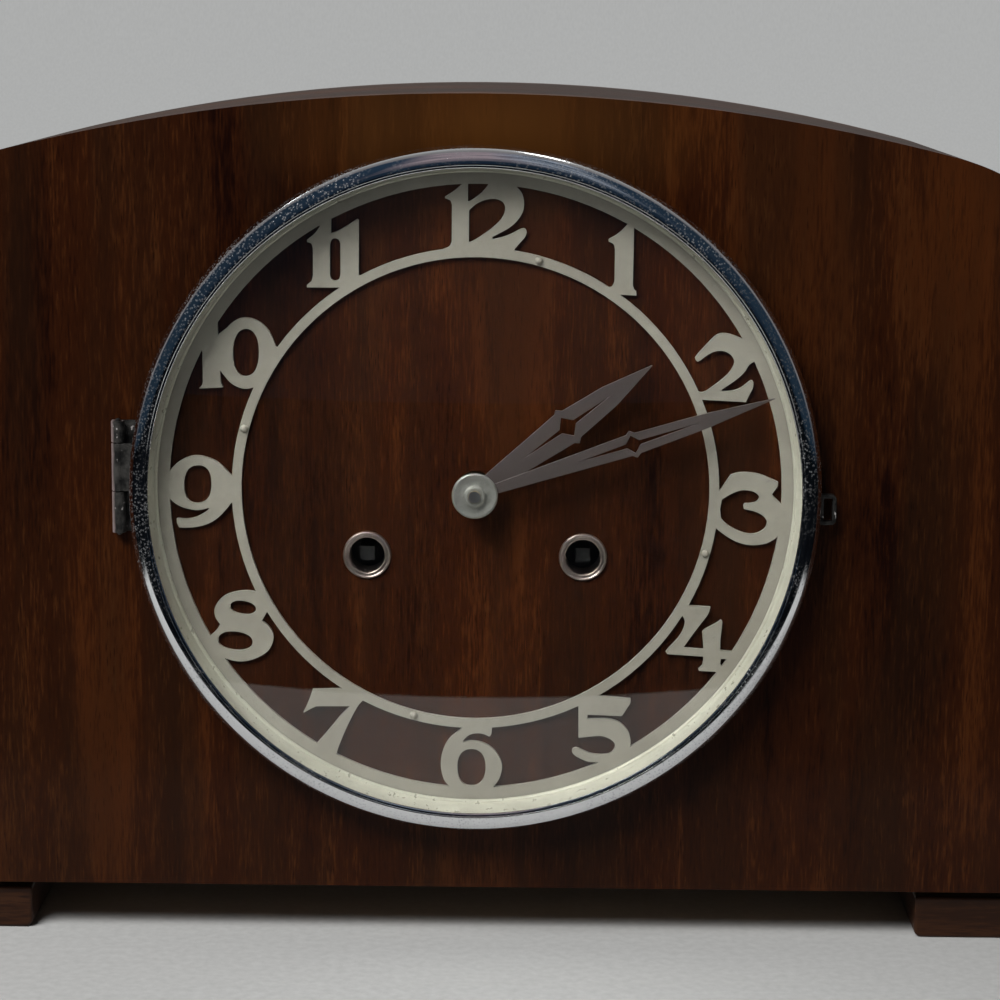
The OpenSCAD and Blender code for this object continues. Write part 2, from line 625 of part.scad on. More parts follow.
module figure_12() {
    figure_shape([[0, [[-2.3, 77.4], [-2.3, 71.9]]], [1, [[-1.9, 71.9], [-0.7, 72.7], [1, 74.1],
        [2.5, 75.9]]],
         [0, [[3, 77.4], [9.4, 77.2]]], [1, [[9.8, 75.6], [11, 74], [11.5, 71.7], [11.2, 69.4], [9.9, 67.1],
         [7.9, 65.2], [5.6, 63.8], [3.7, 62.7]]], [1, [[3.9, 62.2], [6.4, 62.8], [8.7, 63.8], [10.8, 65],
         [11.8, 65], [12.2, 64.1], [11.7, 62.7], [10.6, 61.4], [9.3, 59.7]]], [0, [[9, 58.8], [-8.2, 59]]],
         [1, [[-8.2, 59.6], [-6.8, 60.2], [-6.2, 61.6]]], [0, [[-6.2, 71]]], [1, [[-6.2, 71], [-6.6, 72.1],
         [-7.9, 72.7]]], [1, [[-7.9, 73.1], [-5.8, 74.5], [-3.9, 76.2]]], [0, [[-3.9, 77.4]]]]);
}
module counter_12() {
    figure_shape([[0, [[-2, 69.6], [-2, 61.4]]], [1, [[-1.7, 61.4], [0, 62.3], [3.5, 64.9], [6, 67.5],
        [6.9, 70],
         [6.4, 71.7], [5, 72.5], [3.3, 72.6], [1.4, 72.1], [-0.3, 71.2], [-1.7, 69.9]]]]);
}

module chapter_ring() {
    color(cream) difference() {
        dial_slab(-ring_t, ring_t) union() {
            difference() {
                circle(ring_in + ring_rim, $fn = 180);
                circle(ring_in, $fn = 180);
            }
            difference() {
                circle(ring_out, $fn = 180);
                circle(band_in, $fn = 180);
            }
            figure_1();
            figure_2();
            figure_3();
            figure_4();
            figure_5();
            figure_6();
            figure_7();
            figure_8();
            figure_9();
            figure_10();
            figure_11();
            difference() {
                figure_12();
                counter_12();
            }
        }
        for (k = [0 : 3]) disc(-ring_t - 1, ring_t + 2, pin_r, p = pin_place(k));
    }
}

pin_l = 6;
function pin_place(k) = (ring_in + ring_rim / 2) * [cos(pin_angle + 90 * k), sin(pin_angle + 90 * k)];
module ring_pins() {
    color(cream) for (k = [0 : 3]) turned(concat([[0, 1 - pin_l], [pin_r, 1 - pin_l], [pin_r, ring_t]],
        arc([0, ring_t], pin_head_r, 0, 90, 6)), pin_place(k));
}

module winding_grommets() {
    lip = 0.8;
    color(nickel) for (s = [-1, 1]) turned(concat(
        [[grommet_bore, -front_t], [grommet_shank, -front_t], [grommet_shank, 0], [grommet_r, 0]],
        arc([grommet_r - lip / 2, lip / 2], lip / 2, 0, 90, 4),
        arc([grommet_bore + lip / 2, lip / 2], lip / 2, 90, 180, 4)), [s * winding_x, -winding_down]);
}

// Bezel assembly, turned about the dial's axis; it swings on a pin at the left
crown_round = 3.4;
lip_round = 0.5;
module bezel() {
    color(chrome) turned(concat([[bezel_in, bezel_gap], [bezel_r, bezel_gap], [bezel_r, bezel_h - crown_round]],
        arc([bezel_r - crown_round, bezel_h - crown_round], crown_round, 10, 90, 10),
        [[lip_r + lip_round, bezel_h]],
        arc([lip_r + lip_round, bezel_h - lip_round], lip_round, 100, 180, 4),
        [[lip_r, lip_back], [bezel_in, lip_back]]));
}

// The glass is a shell between two spheres; its flat rim sits behind the bezel's lip
glass_edge = bezel_in - seat_gap;
glass_front = lip_back - seat_gap;
dome_edge = lip_r - seat_gap;
dome_r = (pow(dome_edge, 2) + pow(glass_rise, 2)) / (2 * glass_rise);
dome_a = asin(dome_edge / dome_r);
module glass() {
    dome_c = glass_front + glass_rise - dome_r;
    steps = 24;
    color([0.85, 0.9, 0.92, 0.35]) turned(concat(
        [for (i = [0 : steps]) let (a = dome_a * i / steps) [dome_r * sin(a), dome_c + dome_r * cos(a)]],
        [[glass_edge, glass_front], [glass_edge, glass_front - glass_t]],
        [for (i = [steps : -1 : 0]) let (a = dome_a * i / steps)
            [dome_r * sin(a), dome_c + dome_r * cos(a) - glass_t]]));
}

// The sight ring steps inwards and backwards from the glass to its rolled inner edge
sight_back = 1.5;
sight_round = 0.5;
sight_wall = 0.7;
sight_steps = [[0.7, 1.65], [1.2, 2.31], [1.2, 3.63], [1.8, 4.13], [2.1, 5.12]];
module sight_ring() {
    front = glass_front - glass_t - seat_gap;
    color(cream) turned(concat(
        [[glass_edge, sight_back], [glass_edge, front], [glass_edge - sight_wall, front]],
        [for (q = sight_steps) [glass_edge - q[0], front - q[1]]],
        arc([sight_in + sight_round, sight_back + sight_round], sight_round, 90, 180, 4),
        [[sight_in, sight_back]]));
}

// The bezel hinge: outer knuckles with a leaf let into the board, and a middle knuckle on the bezel
top_knuckle_l = 5.6;
low_knuckle_l = 10.6;
hinge_top = hinge_low + hinge_l;
mid_low = hinge_low + low_knuckle_l;
mid_top = hinge_top - top_knuckle_l;
fixed_in = 5.5;
module hinge_pocket() {
    slab(-1, 1 + leaf_t) translate([-hinge_x - knuckle_r, hinge_low]) square([knuckle_r + fixed_in, hinge_l]);
}
module knuckle(z0, z1, bore) {
    translate([-hinge_x, face_y - hinge_out, dial_z + z0]) difference() {
        cylinder(r = knuckle_r, h = z1 - z0);
        translate([0, 0, -1]) cylinder(r = bore, h = z1 - z0 + 2);
    }
}
web_w = 2.4;
module bezel_hinge_fixed() {
    color(chrome) union() {
        for (z = [[hinge_low, mid_low - knuckle_gap], [mid_top + knuckle_gap, hinge_top]]) {
            knuckle(z[0], z[1], hinge_pin_r);
            difference() {
                dial_slab(-hinge_out, hinge_out + leaf_t / 2) translate([-hinge_x - knuckle_r, z[0]])
                    square([web_w, z[1] - z[0]]);
                translate([-hinge_x, face_y - hinge_out, dial_z + z[0] - 1])
                    cylinder(r = hinge_pin_r, h = z[1] - z[0] + 2);
            }
        }
        dial_slab(0, leaf_t) translate([-hinge_x - knuckle_r, hinge_low])
            square([knuckle_r + fixed_in, hinge_l]);
    }
}
mid_leaf_t = 1.7;
mid_leaf_front = 1.36;
mid_leaf_root = 0.15;
module bezel_hinge_leaf() {
    color(chrome) union() {
        knuckle(mid_low, mid_top, hinge_pin_r + run_gap);
        difference() {
            dial_slab(-hinge_out - mid_leaf_front, mid_leaf_t)
                translate([-hinge_x + hinge_pin_r + run_gap + mid_leaf_root, mid_low])
                    square([hinge_x - bezel_r + 1.4, mid_top - mid_low]);
            disc(-hinge_out - 4, 6, bezel_r, $fn = 360);
        }
    }
}
module bezel_hinge_pin() {
    color(chrome) translate([-hinge_x, face_y - hinge_out, dial_z]) {
        translate([0, 0, hinge_low]) cylinder(r = hinge_pin_r, h = hinge_l);
        for (z = [hinge_low, hinge_top]) translate([0, 0, z]) sphere(r = hinge_pin_r);
    }
}

// The finger tab: a loop with two rounded corners, cut to the bezel's curve
tab_t = 2.4;
tab_lift = 1.4;
tab_round = 1.2;
tab_root = 3;
tab_bar = 0.9;
module bezel_tab() {
    straight = tab_h / 2 - tab_round;
    window = [tab_out - 2 * tab_bar, tab_h - 2 * tab_bar];
    color(chrome) difference() {
        dial_slab(-bezel_gap - tab_lift - tab_t, tab_t) translate([bezel_r, -tab_down]) {
            translate([-tab_root, -tab_h / 2]) square([tab_root + tab_out - tab_round, tab_h]);
            translate([0, -straight]) square([tab_out, 2 * straight]);
            for (z = [-straight, straight]) translate([tab_out - tab_round, z]) circle(tab_round);
        }
        disc(-bezel_gap - tab_lift - tab_t - 1, tab_t + 2, bezel_r, $fn = 360);
        dial_slab(-bezel_gap - tab_lift - tab_t - 1, tab_t + 2)
            translate([bezel_r + tab_bar, -tab_down - window[1] / 2]) square(window);
    }
}

// Hands: tapered blades with a slot, a four-pointed opening and small shoulder points. The widths are
// half widths at the root, before, at and after the points, and at the slot and the opening's points;
// the marks are the slot's start, the points and the slot's end, from the centre.
tip_w = 0.08;
point_lead = 1;
point_tail = 1.2;
module blade(l, w, marks) {
    at = marks[1];
    far = (at + l) / 2;
    shape = [[0, w[0]], [at - point_lead, w[1]], [at, w[2]], [at + point_tail, w[3]], [far, w[3] * 0.72],
        [l, tip_w]];
    star = w[5] * 0.75;
    hole = [[marks[0], 0], [at - star, w[4]], [at, w[5]], [at + star, w[4]], [marks[2], 0]];
    difference() {
        polygon(concat(shape, [for (i = [len(shape) - 1 : -1 : 0]) [shape[i][0], -shape[i][1]]]));
        polygon(concat(hole, [for (i = [len(hole) - 2 : -1 : 1]) [hole[i][0], -hole[i][1]]]));
    }
}

centre_r = 1.5;
pipe_bore = centre_r + run_gap;
pipe_r = 2.2;
hour_pipe_bore = pipe_r + 0.08;
hour_pipe_r = 3.2;
centre_hole_r = 5;
minute_boss_r = 4;
hour_boss_r = 5;
minute_widths = [1, 2.7, 3.5, 2.6, 0.55, 2.3];
minute_marks = [27.2, 41.2, 57.6];
hour_widths = [1.9, 4.3, 5.1, 4, 0.55, 2.8];
hour_marks = [15.7, 28.5, 41.3];
module minute_hand() {
    color(nickel) dial_slab(-minute_out - minute_t, minute_t) difference() {
        union() {
            rotate(90 - minute_angle) blade(minute_l, minute_widths, minute_marks);
            circle(minute_boss_r);
        }
        circle(pipe_bore);
    }
}
module hour_hand() {
    color(nickel) dial_slab(-hour_out - hour_t, hour_t) difference() {
        union() {
            rotate(90 - hour_angle) blade(hour_l, hour_widths, hour_marks);
            circle(hour_boss_r);
        }
        circle(hour_pipe_r);
    }
}

nut_t = 2;
nut_r = 2.6;
nut_round = 0.4;
washer_t = 0.5;
washer_dish = [[3.6, 0.9], [3.1, 0.8], [2.7, 1]];
module hand_nut() {
    out = minute_out + minute_t;
    color(nickel) turned(concat([[centre_r, out], [collet_r, out], [collet_r, out + washer_t]],
        arc([collet_r - washer_t, out + washer_t], washer_t, 20, 90, 3),
        [for (q = washer_dish) [q[0], out + q[1]]],
        arc([nut_r - nut_round, out + nut_t - nut_round], nut_round, 0, 90, 3), [[centre_r, out + nut_t]]));
}

// Wheel teeth and pinion leaves: each tooth is [half widths at tip, pitch circle and root], in modules
wheel_form = [0.9, 1.15, 0.275, 0.65, 0.95];
pinion_form = [0.8, 1.3, 0.3, 0.625, 0.53];
function tooth(form) = [[-form[1], -form[4]], [0, -form[3]], [form[0], -form[2]], [form[0], form[2]],
    [0, form[3]], [-form[1], form[4]]];
function toothed(z, m, form, phase) = [for (k = [0 : z - 1]) for (q = tooth(form))
    let (r = m * (z / 2 + q[0]), a = 360 * k / z + phase + q[1] * m / r * 180 / PI) [r * cos(a), r * sin(a)]];

// A crossed-out wheel with four spokes and a solid hub
rim_w = 1;
tooth_room = 2.6;
spoke_w = 1.6;
module wheel(at, t, z, m, p, phase, hub) {
    rim = m * z / 2 - tooth_room * m - rim_w;
    dial_slab(at, t) translate(p) difference() {
        polygon(toothed(z, m, wheel_form, phase));
        difference() {
            circle(rim);
            circle(hub);
            for (a = [0, 90]) rotate(a + phase + 45) square([2 * rim + 1, spoke_w], center = true);
        }
    }
}

// A plain toothed wheel, bored later
module plain_wheel(at, t, z, m, p, phase) {
    dial_slab(at, t) translate(p) polygon(toothed(z, m, wheel_form, phase));
}
module pinion(at, t, z, m, p, phase) {
    dial_slab(at, t) translate(p) polygon(toothed(z, m, pinion_form, phase));
}

// The phase of a pinion so that its gap meets a tooth of the wheel that drives it
function line_angle(a, b) = atan2(b[1] - a[1], b[0] - a[0]);
function meshed(a, b, z1, z2, phase) = let (l = line_angle(a, b)) l + 180 - (phase - l) * z1 / z2 + 180 / z2;

// Where circles of radius ra about a and rb about b cross, on the left of the line from a to b
function crossing(a, ra, b, rb) =
    let (d = norm(b - a), e = (b - a) / d, x = (ra * ra - rb * rb + d * d) / (2 * d))
    let (y = sqrt(ra * ra - x * x))
    a + x * e + y * [-e[1], e[0]];

// Tooth counts
great_z = 78;
great_m = 0.6;
second_leaves = 12;
second_z = 60;
centre_leaves = 12;
centre_z = 96;
third_leaves = 8;
third_z = 104;
escape_leaves = 8;
escape_z = 36;
second_m = 0.6;
centre_m = 0.4;
third_m = 0.36;
cannon_z = 12;
cannon_m = 0.45;
minute_z = 48;
minute_leaves = 10;
hour_z = 30;
minute_m = cannon_m * (cannon_z + minute_z) / (minute_leaves + hour_z);
pin_z = 60;
pin_m = 0.5;
warn_leaves = 10;
warn_z = 60;
warn_m = 0.4;
run_leaves = 8;
run_z = 48;
run_m = 0.36;
fly_leaves = 8;

// How far apart a wheel and the pinion it drives stand
great_apart = (great_z + second_leaves) * great_m / 2;
second_apart = (second_z + centre_leaves) * second_m / 2;
centre_apart = (centre_z + third_leaves) * centre_m / 2;
third_apart = (third_z + escape_leaves) * third_m / 2;
pin_apart = (pin_z + warn_leaves) * pin_m / 2;
warn_apart = (warn_z + run_leaves) * warn_m / 2;
run_apart = (run_z + fly_leaves) * run_m / 2;
warn_turn = 20;
run_turn = -10;

// Arbor places, from the dial centre
centre_p = [0, 0];
going_p = [winding_x, -winding_down];
strike_p = [-winding_x, -winding_down];
second_p = crossing(centre_p, second_apart, going_p, great_apart);
escape_p = [0, 30];
third_p = crossing(centre_p, centre_apart, escape_p, third_apart);
anchor_p = [0, pallet_up];
minute_p = [0, -(cannon_z + minute_z) * cannon_m / 2];
pin_p = strike_p - [0, great_apart];
warn_p = pin_p + pin_apart * [cos(warn_turn), sin(warn_turn)];
run_p = warn_p + warn_apart * [cos(run_turn), sin(run_turn)];
fly_p = run_p + [run_apart, 0];
hammer_p = [-50, -31];

// Layers between the plates, from the front plate's back
centre_at = gear_at + 2;
centre_pinion_at = gear_at + 4.6;
second_at = gear_at + 5;
third_at = gear_at + 7.4;
great_at = gear_at + 9.4;
great_t = 1.8;
drum_l = 18.8;
escape_at = gear_at + 22;

// An arbor between the plates with a pivot in each; the quick wheels have lighter ones
shake = 0.1;
light_arbor_r = 0.8 * arbor_r;
module arbor(p, r = arbor_r) {
    disc(gear_at + shake, plate_gap - 2 * shake, r, p = p);
    disc(front_plate_at, 2 * plate_t + plate_gap, pivot_r, p = p);
}

// A wheel on its arbor: its rim and spokes, and a boss given as [start before it, thickness, over the arbor]
wheel_hub = 3;
full_boss = [0.4, 2.2, 2.2];
centre_boss = [0.6, 2.2, 2.2];
warn_boss = [0.4, 2, 2];
light_boss = [0.3, 1.6, 2];
small_boss = [0.3, 1.6, 1.6];
full_wheel_t = 1.4;
mid_wheel_t = 1.2;
light_wheel_t = 1;
pinion_over = 0.5;
module bossed_wheel(at, t, z, m, p, phase, boss, hub = wheel_hub) {
    wheel(at, t, z, m, p, phase, arbor_r + hub);
    disc(at - boss[0], boss[1], arbor_r + boss[2], p = p);
}

drum_wall = 1.2;
module barrel(p, s) {
    color(brass) difference() {
        union() {
            plain_wheel(great_at, great_t, great_z, great_m, p, 0);
            disc(great_at, drum_l, barrel_r, p = p);
        }
        disc(great_at - 1, drum_l + 2, winding_r + run_gap, p = p);
        disc(great_at + great_t, drum_l - great_t - drum_wall, barrel_r - drum_wall, p = p);
    }
}
module going_barrel() { barrel(going_p, 1); }
module strike_barrel() { barrel(strike_p, -1); }

// A mainspring wound part way: a strip that spirals from the arbor to the barrel wall
spring_t = 0.5;
spring_turns = 9;
spring_gap = 0.4;
spring_step = 20;
function spiral(s, r0, r1, n) = [for (i = [0 : n])
    let (a = s * i * spring_step, r = r0 + (r1 - r0) * i / n) [r * cos(a), r * sin(a)]];
module mainspring(p, s) {
    r0 = winding_r + spring_gap;
    r1 = barrel_r - drum_wall - spring_gap - spring_t;
    n = spring_turns * 360 / spring_step;
    outer = spiral(s, r0 + spring_t, r1 + spring_t, n);
    color(steel) dial_slab(great_at + great_t + spring_gap, drum_l - great_t - drum_wall - 2 * spring_gap)
        translate(p) polygon(concat(spiral(s, r0, r1, n), [for (i = [n : -1 : 0]) outer[i]]));
}
module going_mainspring() { mainspring(going_p, 1); }
module strike_mainspring() { mainspring(strike_p, -1); }

// A winding arbor with its square, its ratchet wheel and its back pivot
ratchet_at = front_plate_at - 3.5;
ratchet_t = 2;
ratchet_z = 20;
ratchet_depth = 1.8;
ratchet_rake = 2;
square_out = 2;
ratchet_tooth = [[ratchet_r, 0], [ratchet_r - ratchet_depth, ratchet_rake]];
function ratchet(s) = [for (k = [0 : ratchet_z - 1]) for (q = ratchet_tooth)
    let (a = s * (360 / ratchet_z * k + q[1])) [q[0] * cos(a), q[0] * sin(a)]];
module winding_arbor(p, s) {
    color(steel) union() {
        dial_slab(square_out, ratchet_at + run_gap - square_out) translate(p) square(square_w, center = true);
        dial_slab(ratchet_at, ratchet_t) translate(p) polygon(ratchet(s));
        disc(ratchet_at, back_plate_at - shake - ratchet_at, winding_r, p = p);
        disc(back_plate_at - 1, plate_t + 1, centre_r, p = p);
    }
}
module going_arbor() { winding_arbor(going_p, 1); }
module strike_arbor() { winding_arbor(strike_p, -1); }

// A click rides just clear of its ratchet wheel and turns on a stud in the front plate. Its lever runs from
// the beak to the boss, given by points about each, for the right-hand side.
click_at = ratchet_at + 0.2;
click_t = 1.6;
click_stud_r = 1.2;
click_boss_r = 2.6;
click_gap = 0.35;
click_off = [12.6, 7.2];
click_meets = 64;
beak = [[0, 0], [0.2, 1.6]];
lever = [[-0.6, 2.5], [1.2, -1.2], [-0.2, -2.5], [-1.8, 0.4]];
function side(s, q) = [s * q[0], q[1]];
function click_p(s) = side(s, going_p + click_off);
module click(s) {
    c = click_p(s);
    tip = side(s, going_p + (ratchet_r + click_gap) * [cos(click_meets), sin(click_meets)]);
    color(steel) difference() {
        union() {
            disc(click_at, click_t, click_boss_r, p = c);
            dial_slab(click_at, click_t)
                polygon(concat([for (q = beak) tip + side(s, q)], [for (q = lever) c + side(s, q)]));
        }
        disc(click_at - 1, click_t + 2, click_stud_r + run_gap, p = c);
    }
}
module going_click() { click(1); }
module strike_click() { click(-1); }

module second_wheel() {
    phase = second_phase;
    color(brass) union() {
        arbor(second_p);
        pinion(great_at - pinion_over, great_t + 2 * pinion_over, second_leaves, great_m, second_p, phase);
        bossed_wheel(second_at, full_wheel_t, second_z, second_m, second_p, phase, full_boss);
    }
}

// The centre arbor carries the minute hand through the cannon pinion
second_phase = meshed(going_p, second_p, great_z, second_leaves, 0);
centre_phase = meshed(second_p, centre_p, second_z, centre_leaves, second_phase);
tip_over = 0.5;
arbor_tip = minute_out + minute_t + nut_t + tip_over;
centre_pinion_t = 2.2;
module centre_wheel() {
    color(brass) union() {
        disc(-arbor_tip, arbor_tip + gear_at + shake, centre_r);
        disc(gear_at, plate_gap - shake, arbor_r);
        disc(back_plate_at - 1, plate_t + 1, pivot_r);
        pinion(centre_pinion_at, centre_pinion_t, centre_leaves, second_m, centre_p, centre_phase);
        bossed_wheel(centre_at, mid_wheel_t, centre_z, centre_m, centre_p, centre_phase, centre_boss);
    }
}

third_phase = meshed(centre_p, third_p, centre_z, third_leaves, centre_phase);
light_over = 0.4;
module third_wheel() {
    color(brass) union() {
        arbor(third_p, light_arbor_r);
        pinion(centre_at - light_over, mid_wheel_t + 2 * light_over, third_leaves, centre_m, third_p,
            third_phase);
        bossed_wheel(third_at, light_wheel_t, third_z, third_m, third_p, third_phase, light_boss);
    }
}

// The escape wheel's teeth are raked: each is four points, given as [depth below the tips, degrees round]
escape_r = 11;
escape_depth = 1.8;
escape_rim = 3.4;
escape_hub = 3;
escape_boss_r = 2.6;
escape_spoke = 1.2;
escape_tooth = [[escape_depth, -3], [escape_depth, 0], [0, 2.2], [0, 2.8]];
module escape_wheel() {
    phase = meshed(third_p, escape_p, third_z, escape_leaves, third_phase);
    teeth = [for (k = [0 : escape_z - 1]) for (q = escape_tooth)
        let (a = 360 / escape_z * k + q[1]) (escape_r - q[0]) * [cos(a), sin(a)]];
    color(brass) union() {
        arbor(escape_p, light_arbor_r);
        pinion(third_at - light_over, light_wheel_t + 2 * light_over, escape_leaves, third_m, escape_p,
            phase);
        dial_slab(escape_at, light_wheel_t) translate(escape_p) difference() {
            polygon(teeth);
            difference() {
                circle(escape_r - escape_rim);
                circle(escape_hub);
                for (a = [0, 90]) rotate(a)
                    square([2 * (escape_r - escape_hub), escape_spoke], center = true);
            }
        }
        disc(escape_at - centre_boss[0], centre_boss[1], escape_boss_r, p = escape_p);
    }
}

// The anchor hangs its pallets over the escape wheel; its crutch steers the pendulum behind the plate
crutch_l = 30;
crutch_t = 1;
crutch_w = 1.6;
crutch_gap = 1.4;
crutch_at = back_plate_at + plate_t + crutch_gap;
crutch_eye_r = 2;
crutch_foot = 3.2;
fork_gap = 0.2;
fork_t = 1;
anchor_t = 1.8;
anchor_boss_r = 2.8;
anchor_half = [[0, 2.8], [6, 1.4], [10.6, -4], [8.8, -6.4], [6.2, -2.4], [0, -1.2]];
module anchor() {
    fork_p = [rod_r + fork_gap + fork_t / 2, -crutch_l - crutch_w / 2];
    color(steel) union() {
        arbor(anchor_p, light_arbor_r);
        disc(back_plate_at, crutch_at + crutch_t - back_plate_at, pivot_r, p = anchor_p);
        dial_slab(escape_at - light_over, anchor_t) translate(anchor_p) {
            circle(anchor_boss_r);
            polygon(concat(anchor_half, [for (i = [4 : -1 : 1]) side(-1, anchor_half[i])]));
        }
        dial_slab(crutch_at, crutch_t) translate(anchor_p) {
            circle(crutch_eye_r);
            translate([-crutch_w / 2, -crutch_l]) square([crutch_w, crutch_l]);
            translate([-crutch_foot, -crutch_l - crutch_w]) square([2 * crutch_foot, crutch_w]);
        }
        for (s = [-1, 1])
            dial_slab(crutch_at, pendulum_at + rod_r - crutch_at + fork_t)
                translate(anchor_p + side(s, fork_p)) square([fork_t, crutch_w], center = true);
    }
}

// The cock on the back plate holds the pendulum's suspension
cock_w = 12;
cock_h = 8;
cock_t = 1.6;
cock_up = 2.4;
arm_w = 4.4;
arm_h = 4;
arm_up = 4.2;
arm_past = 2.4;
module pendulum_cock() {
    at = back_plate_at + plate_t;
    color(brass) union() {
        dial_slab(at, cock_t) translate([-cock_w / 2, pallet_up + cock_up]) square([cock_w, cock_h]);
        dial_slab(at, pendulum_at + arm_past - at)
            translate([-arm_w / 2, pallet_up + arm_up]) square([arm_w, arm_h]);
    }
}

// The pendulum: a flat suspension piece, a round rod, a bevelled bob and the rating nut that carries it.
// An upright cylinder on the rod's line starts this far below the pallet arbor.
module on_rod(down, l, r) {
    translate([0, face_y + pendulum_at, dial_z + pallet_up - down]) cylinder(r = r, h = l);
}
tang_w = 4;
tang_l = 12;
tang_t = 1;
tang_down = 8;
thread_l = 8;
module pendulum_rod() {
    low = bob_down + bob_r + thread_l;
    color(steel) union() {
        dial_slab(pendulum_at - tang_t / 2, tang_t) translate(anchor_p - [tang_w / 2, tang_down])
            square([tang_w, tang_l]);
        on_rod(low, low - tang_down + 1, rod_r);
    }
}
bob_edge_r = 4;
bob_edge_t = 2.6;
module pendulum_bob() {
    edge = [[0, bob_t / 2], [bob_r - bob_edge_r, bob_t / 2], [bob_r, bob_t / 2 - bob_edge_t]];
    front = [for (q = edge) [q[0], q[1] - pendulum_at]];
    back = [for (i = [2 : -1 : 0]) [edge[i][0], -edge[i][1] - pendulum_at]];
    color(brass) difference() {
        turned(concat(front, back), anchor_p - [0, bob_down]);
        on_rod(bob_down + bob_r + 1, 2 * bob_r + 2, rod_r + run_gap);
    }
}
nut_h = 4;
rating_r = 4;
rating_gap = 0.2;
module rating_nut() {
    down = bob_down + bob_r + nut_h + rating_gap;
    color(brass) difference() {
        on_rod(down, nut_h, rating_r);
        on_rod(down + 1, nut_h + 2, rod_r + run_gap);
    }
}

// Strike train
pin_phase = meshed(strike_p, pin_p, great_z, second_leaves, 0);
pin_ring_r = 12;
lift_pin_count = 8;
lift_pin_l = 2;
lift_pin_r = 0.6;
module pin_wheel() {
    color(brass) union() {
        arbor(pin_p);
        pinion(great_at - pinion_over, great_t + 2 * pinion_over, second_leaves, great_m, pin_p, pin_phase);
        bossed_wheel(second_at, full_wheel_t, pin_z, pin_m, pin_p, pin_phase, full_boss);
        for (a = [0 : 360 / lift_pin_count : 359])
            disc(second_at + 1, full_wheel_t - 1 + lift_pin_l, lift_pin_r,
                p = pin_p + pin_ring_r * [cos(a), sin(a)]);
    }
}
warn_phase = meshed(pin_p, warn_p, pin_z, warn_leaves, pin_phase);
fine_over = 0.3;
warn_hub = 2.6;
run_hub = 2.2;
module warning_wheel() {
    color(brass) union() {
        arbor(warn_p);
        pinion(second_at - fine_over, full_wheel_t + 2 * fine_over, warn_leaves, pin_m, warn_p, warn_phase);
        bossed_wheel(centre_at, mid_wheel_t, warn_z, warn_m, warn_p, warn_phase, warn_boss, warn_hub);
    }
}
run_phase = meshed(warn_p, run_p, warn_z, run_leaves, warn_phase);
module run_wheel() {
    color(brass) union() {
        arbor(run_p, light_arbor_r);
        pinion(centre_at - fine_over, mid_wheel_t + 2 * fine_over, run_leaves, warn_m, run_p, run_phase);
        bossed_wheel(third_at, light_wheel_t, run_z, run_m, run_p, run_phase, small_boss, run_hub);
    }
}
fly_r = 6.4;
fly_l = 14;
fly_t = 0.5;
fly_tube_r = 1.4;
fly_at = gear_at + 12;
module fly() {
    phase = meshed(run_p, fly_p, run_z, fly_leaves, run_phase);
    color(brass) union() {
        arbor(fly_p, light_arbor_r);
        pinion(third_at - fine_over, light_wheel_t + 2 * fine_over, fly_leaves, run_m, fly_p, phase);
        dial_slab(fly_at, fly_l) translate(fly_p) square([2 * fly_r, fly_t], center = true);
        disc(fly_at, fly_l, fly_tube_r, p = fly_p);
    }
}

// The strike hammer: a lifting arm over the pins, and a stem behind the plate with a head over each rod
rods_z = floor_z + gong_up - dial_z;
head_x = -14;
head_gap = 1.2;
head_l = 9;
head_low = rods_z + gong_r + head_gap;
stem_t = 1.4;
stem_half = [1.2, 0.9];
stem_down = 3.5;
stem_bend = [6, 0.6];
lift_half = [2, 0.7];
lift_gap = 0.5;
lift_boss_r = 2.4;
head_boss_r = 2.6;
boss_l = 2;
module strike_hammer() {
    toward = (pin_p - hammer_p) / norm(pin_p - hammer_p);
    tip = hammer_p + (norm(pin_p - hammer_p) - pin_ring_r - lift_pin_r - lift_gap) * toward;
    across = [-toward[1], toward[0]];
    lift_at = second_at + full_wheel_t;
    end = [head_x, head_low + head_l - stem_down];
    bend = end + [-stem_bend[0], stem_bend[1]];
    up = [0, 1];
    color(steel) union() {
        arbor(hammer_p);
        disc(back_plate_at, gong_at + gong_step + boss_l / 2 - back_plate_at, light_arbor_r, p = hammer_p);
        dial_slab(lift_at + (boss_l - stem_t) / 2, stem_t)
            polygon([hammer_p + lift_half[0] * across, tip + lift_half[1] * across,
                tip - lift_half[1] * across, hammer_p - lift_half[0] * across]);
        disc(lift_at, boss_l, lift_boss_r, p = hammer_p);
        for (at = [gong_at, gong_at + gong_step]) {
            disc(at - boss_l / 2, boss_l, head_boss_r, p = hammer_p);
            dial_slab(at - stem_t / 2, stem_t)
                polygon([hammer_p + stem_half[0] * up, bend + stem_half[1] * up, end + stem_half[1] * up,
                    end - stem_half[1] * up, bend - stem_half[1] * up, hammer_p - stem_half[0] * up]);
            translate([head_x, face_y + at, dial_z + head_low]) cylinder(r = head_r, h = head_l);
        }
    }
}

// The gong block stands on the base board and holds one end of each rod
gong_block_x = 66;
gong_block_w = 20;
gong_block_d = 26;
gong_block_over = 8;
gong_seat = 12;
gong_shorter = 18;
// A bar along X on the line of rod k, from the seat's bottom outwards
module rod_line(k, l) {
    translate([gong_block_x + gong_seat, face_y + gong_at + k * gong_step, floor_z + gong_up])
        rotate([0, -90, 0]) cylinder(r = gong_r, h = l);
}
module gong_block() {
    at = gong_at + gong_step / 2 - gong_block_d / 2;
    color(iron) difference() {
        slab(at, gong_block_d) translate([gong_block_x, floor_z])
            square([gong_block_w, gong_up + gong_block_over]);
        for (k = [0, 1]) rod_line(k, gong_seat + 1);
    }
}
module gong_rods() {
    color(steel) for (k = [0, 1]) rod_line(k, gong_l - gong_shorter * k);
}

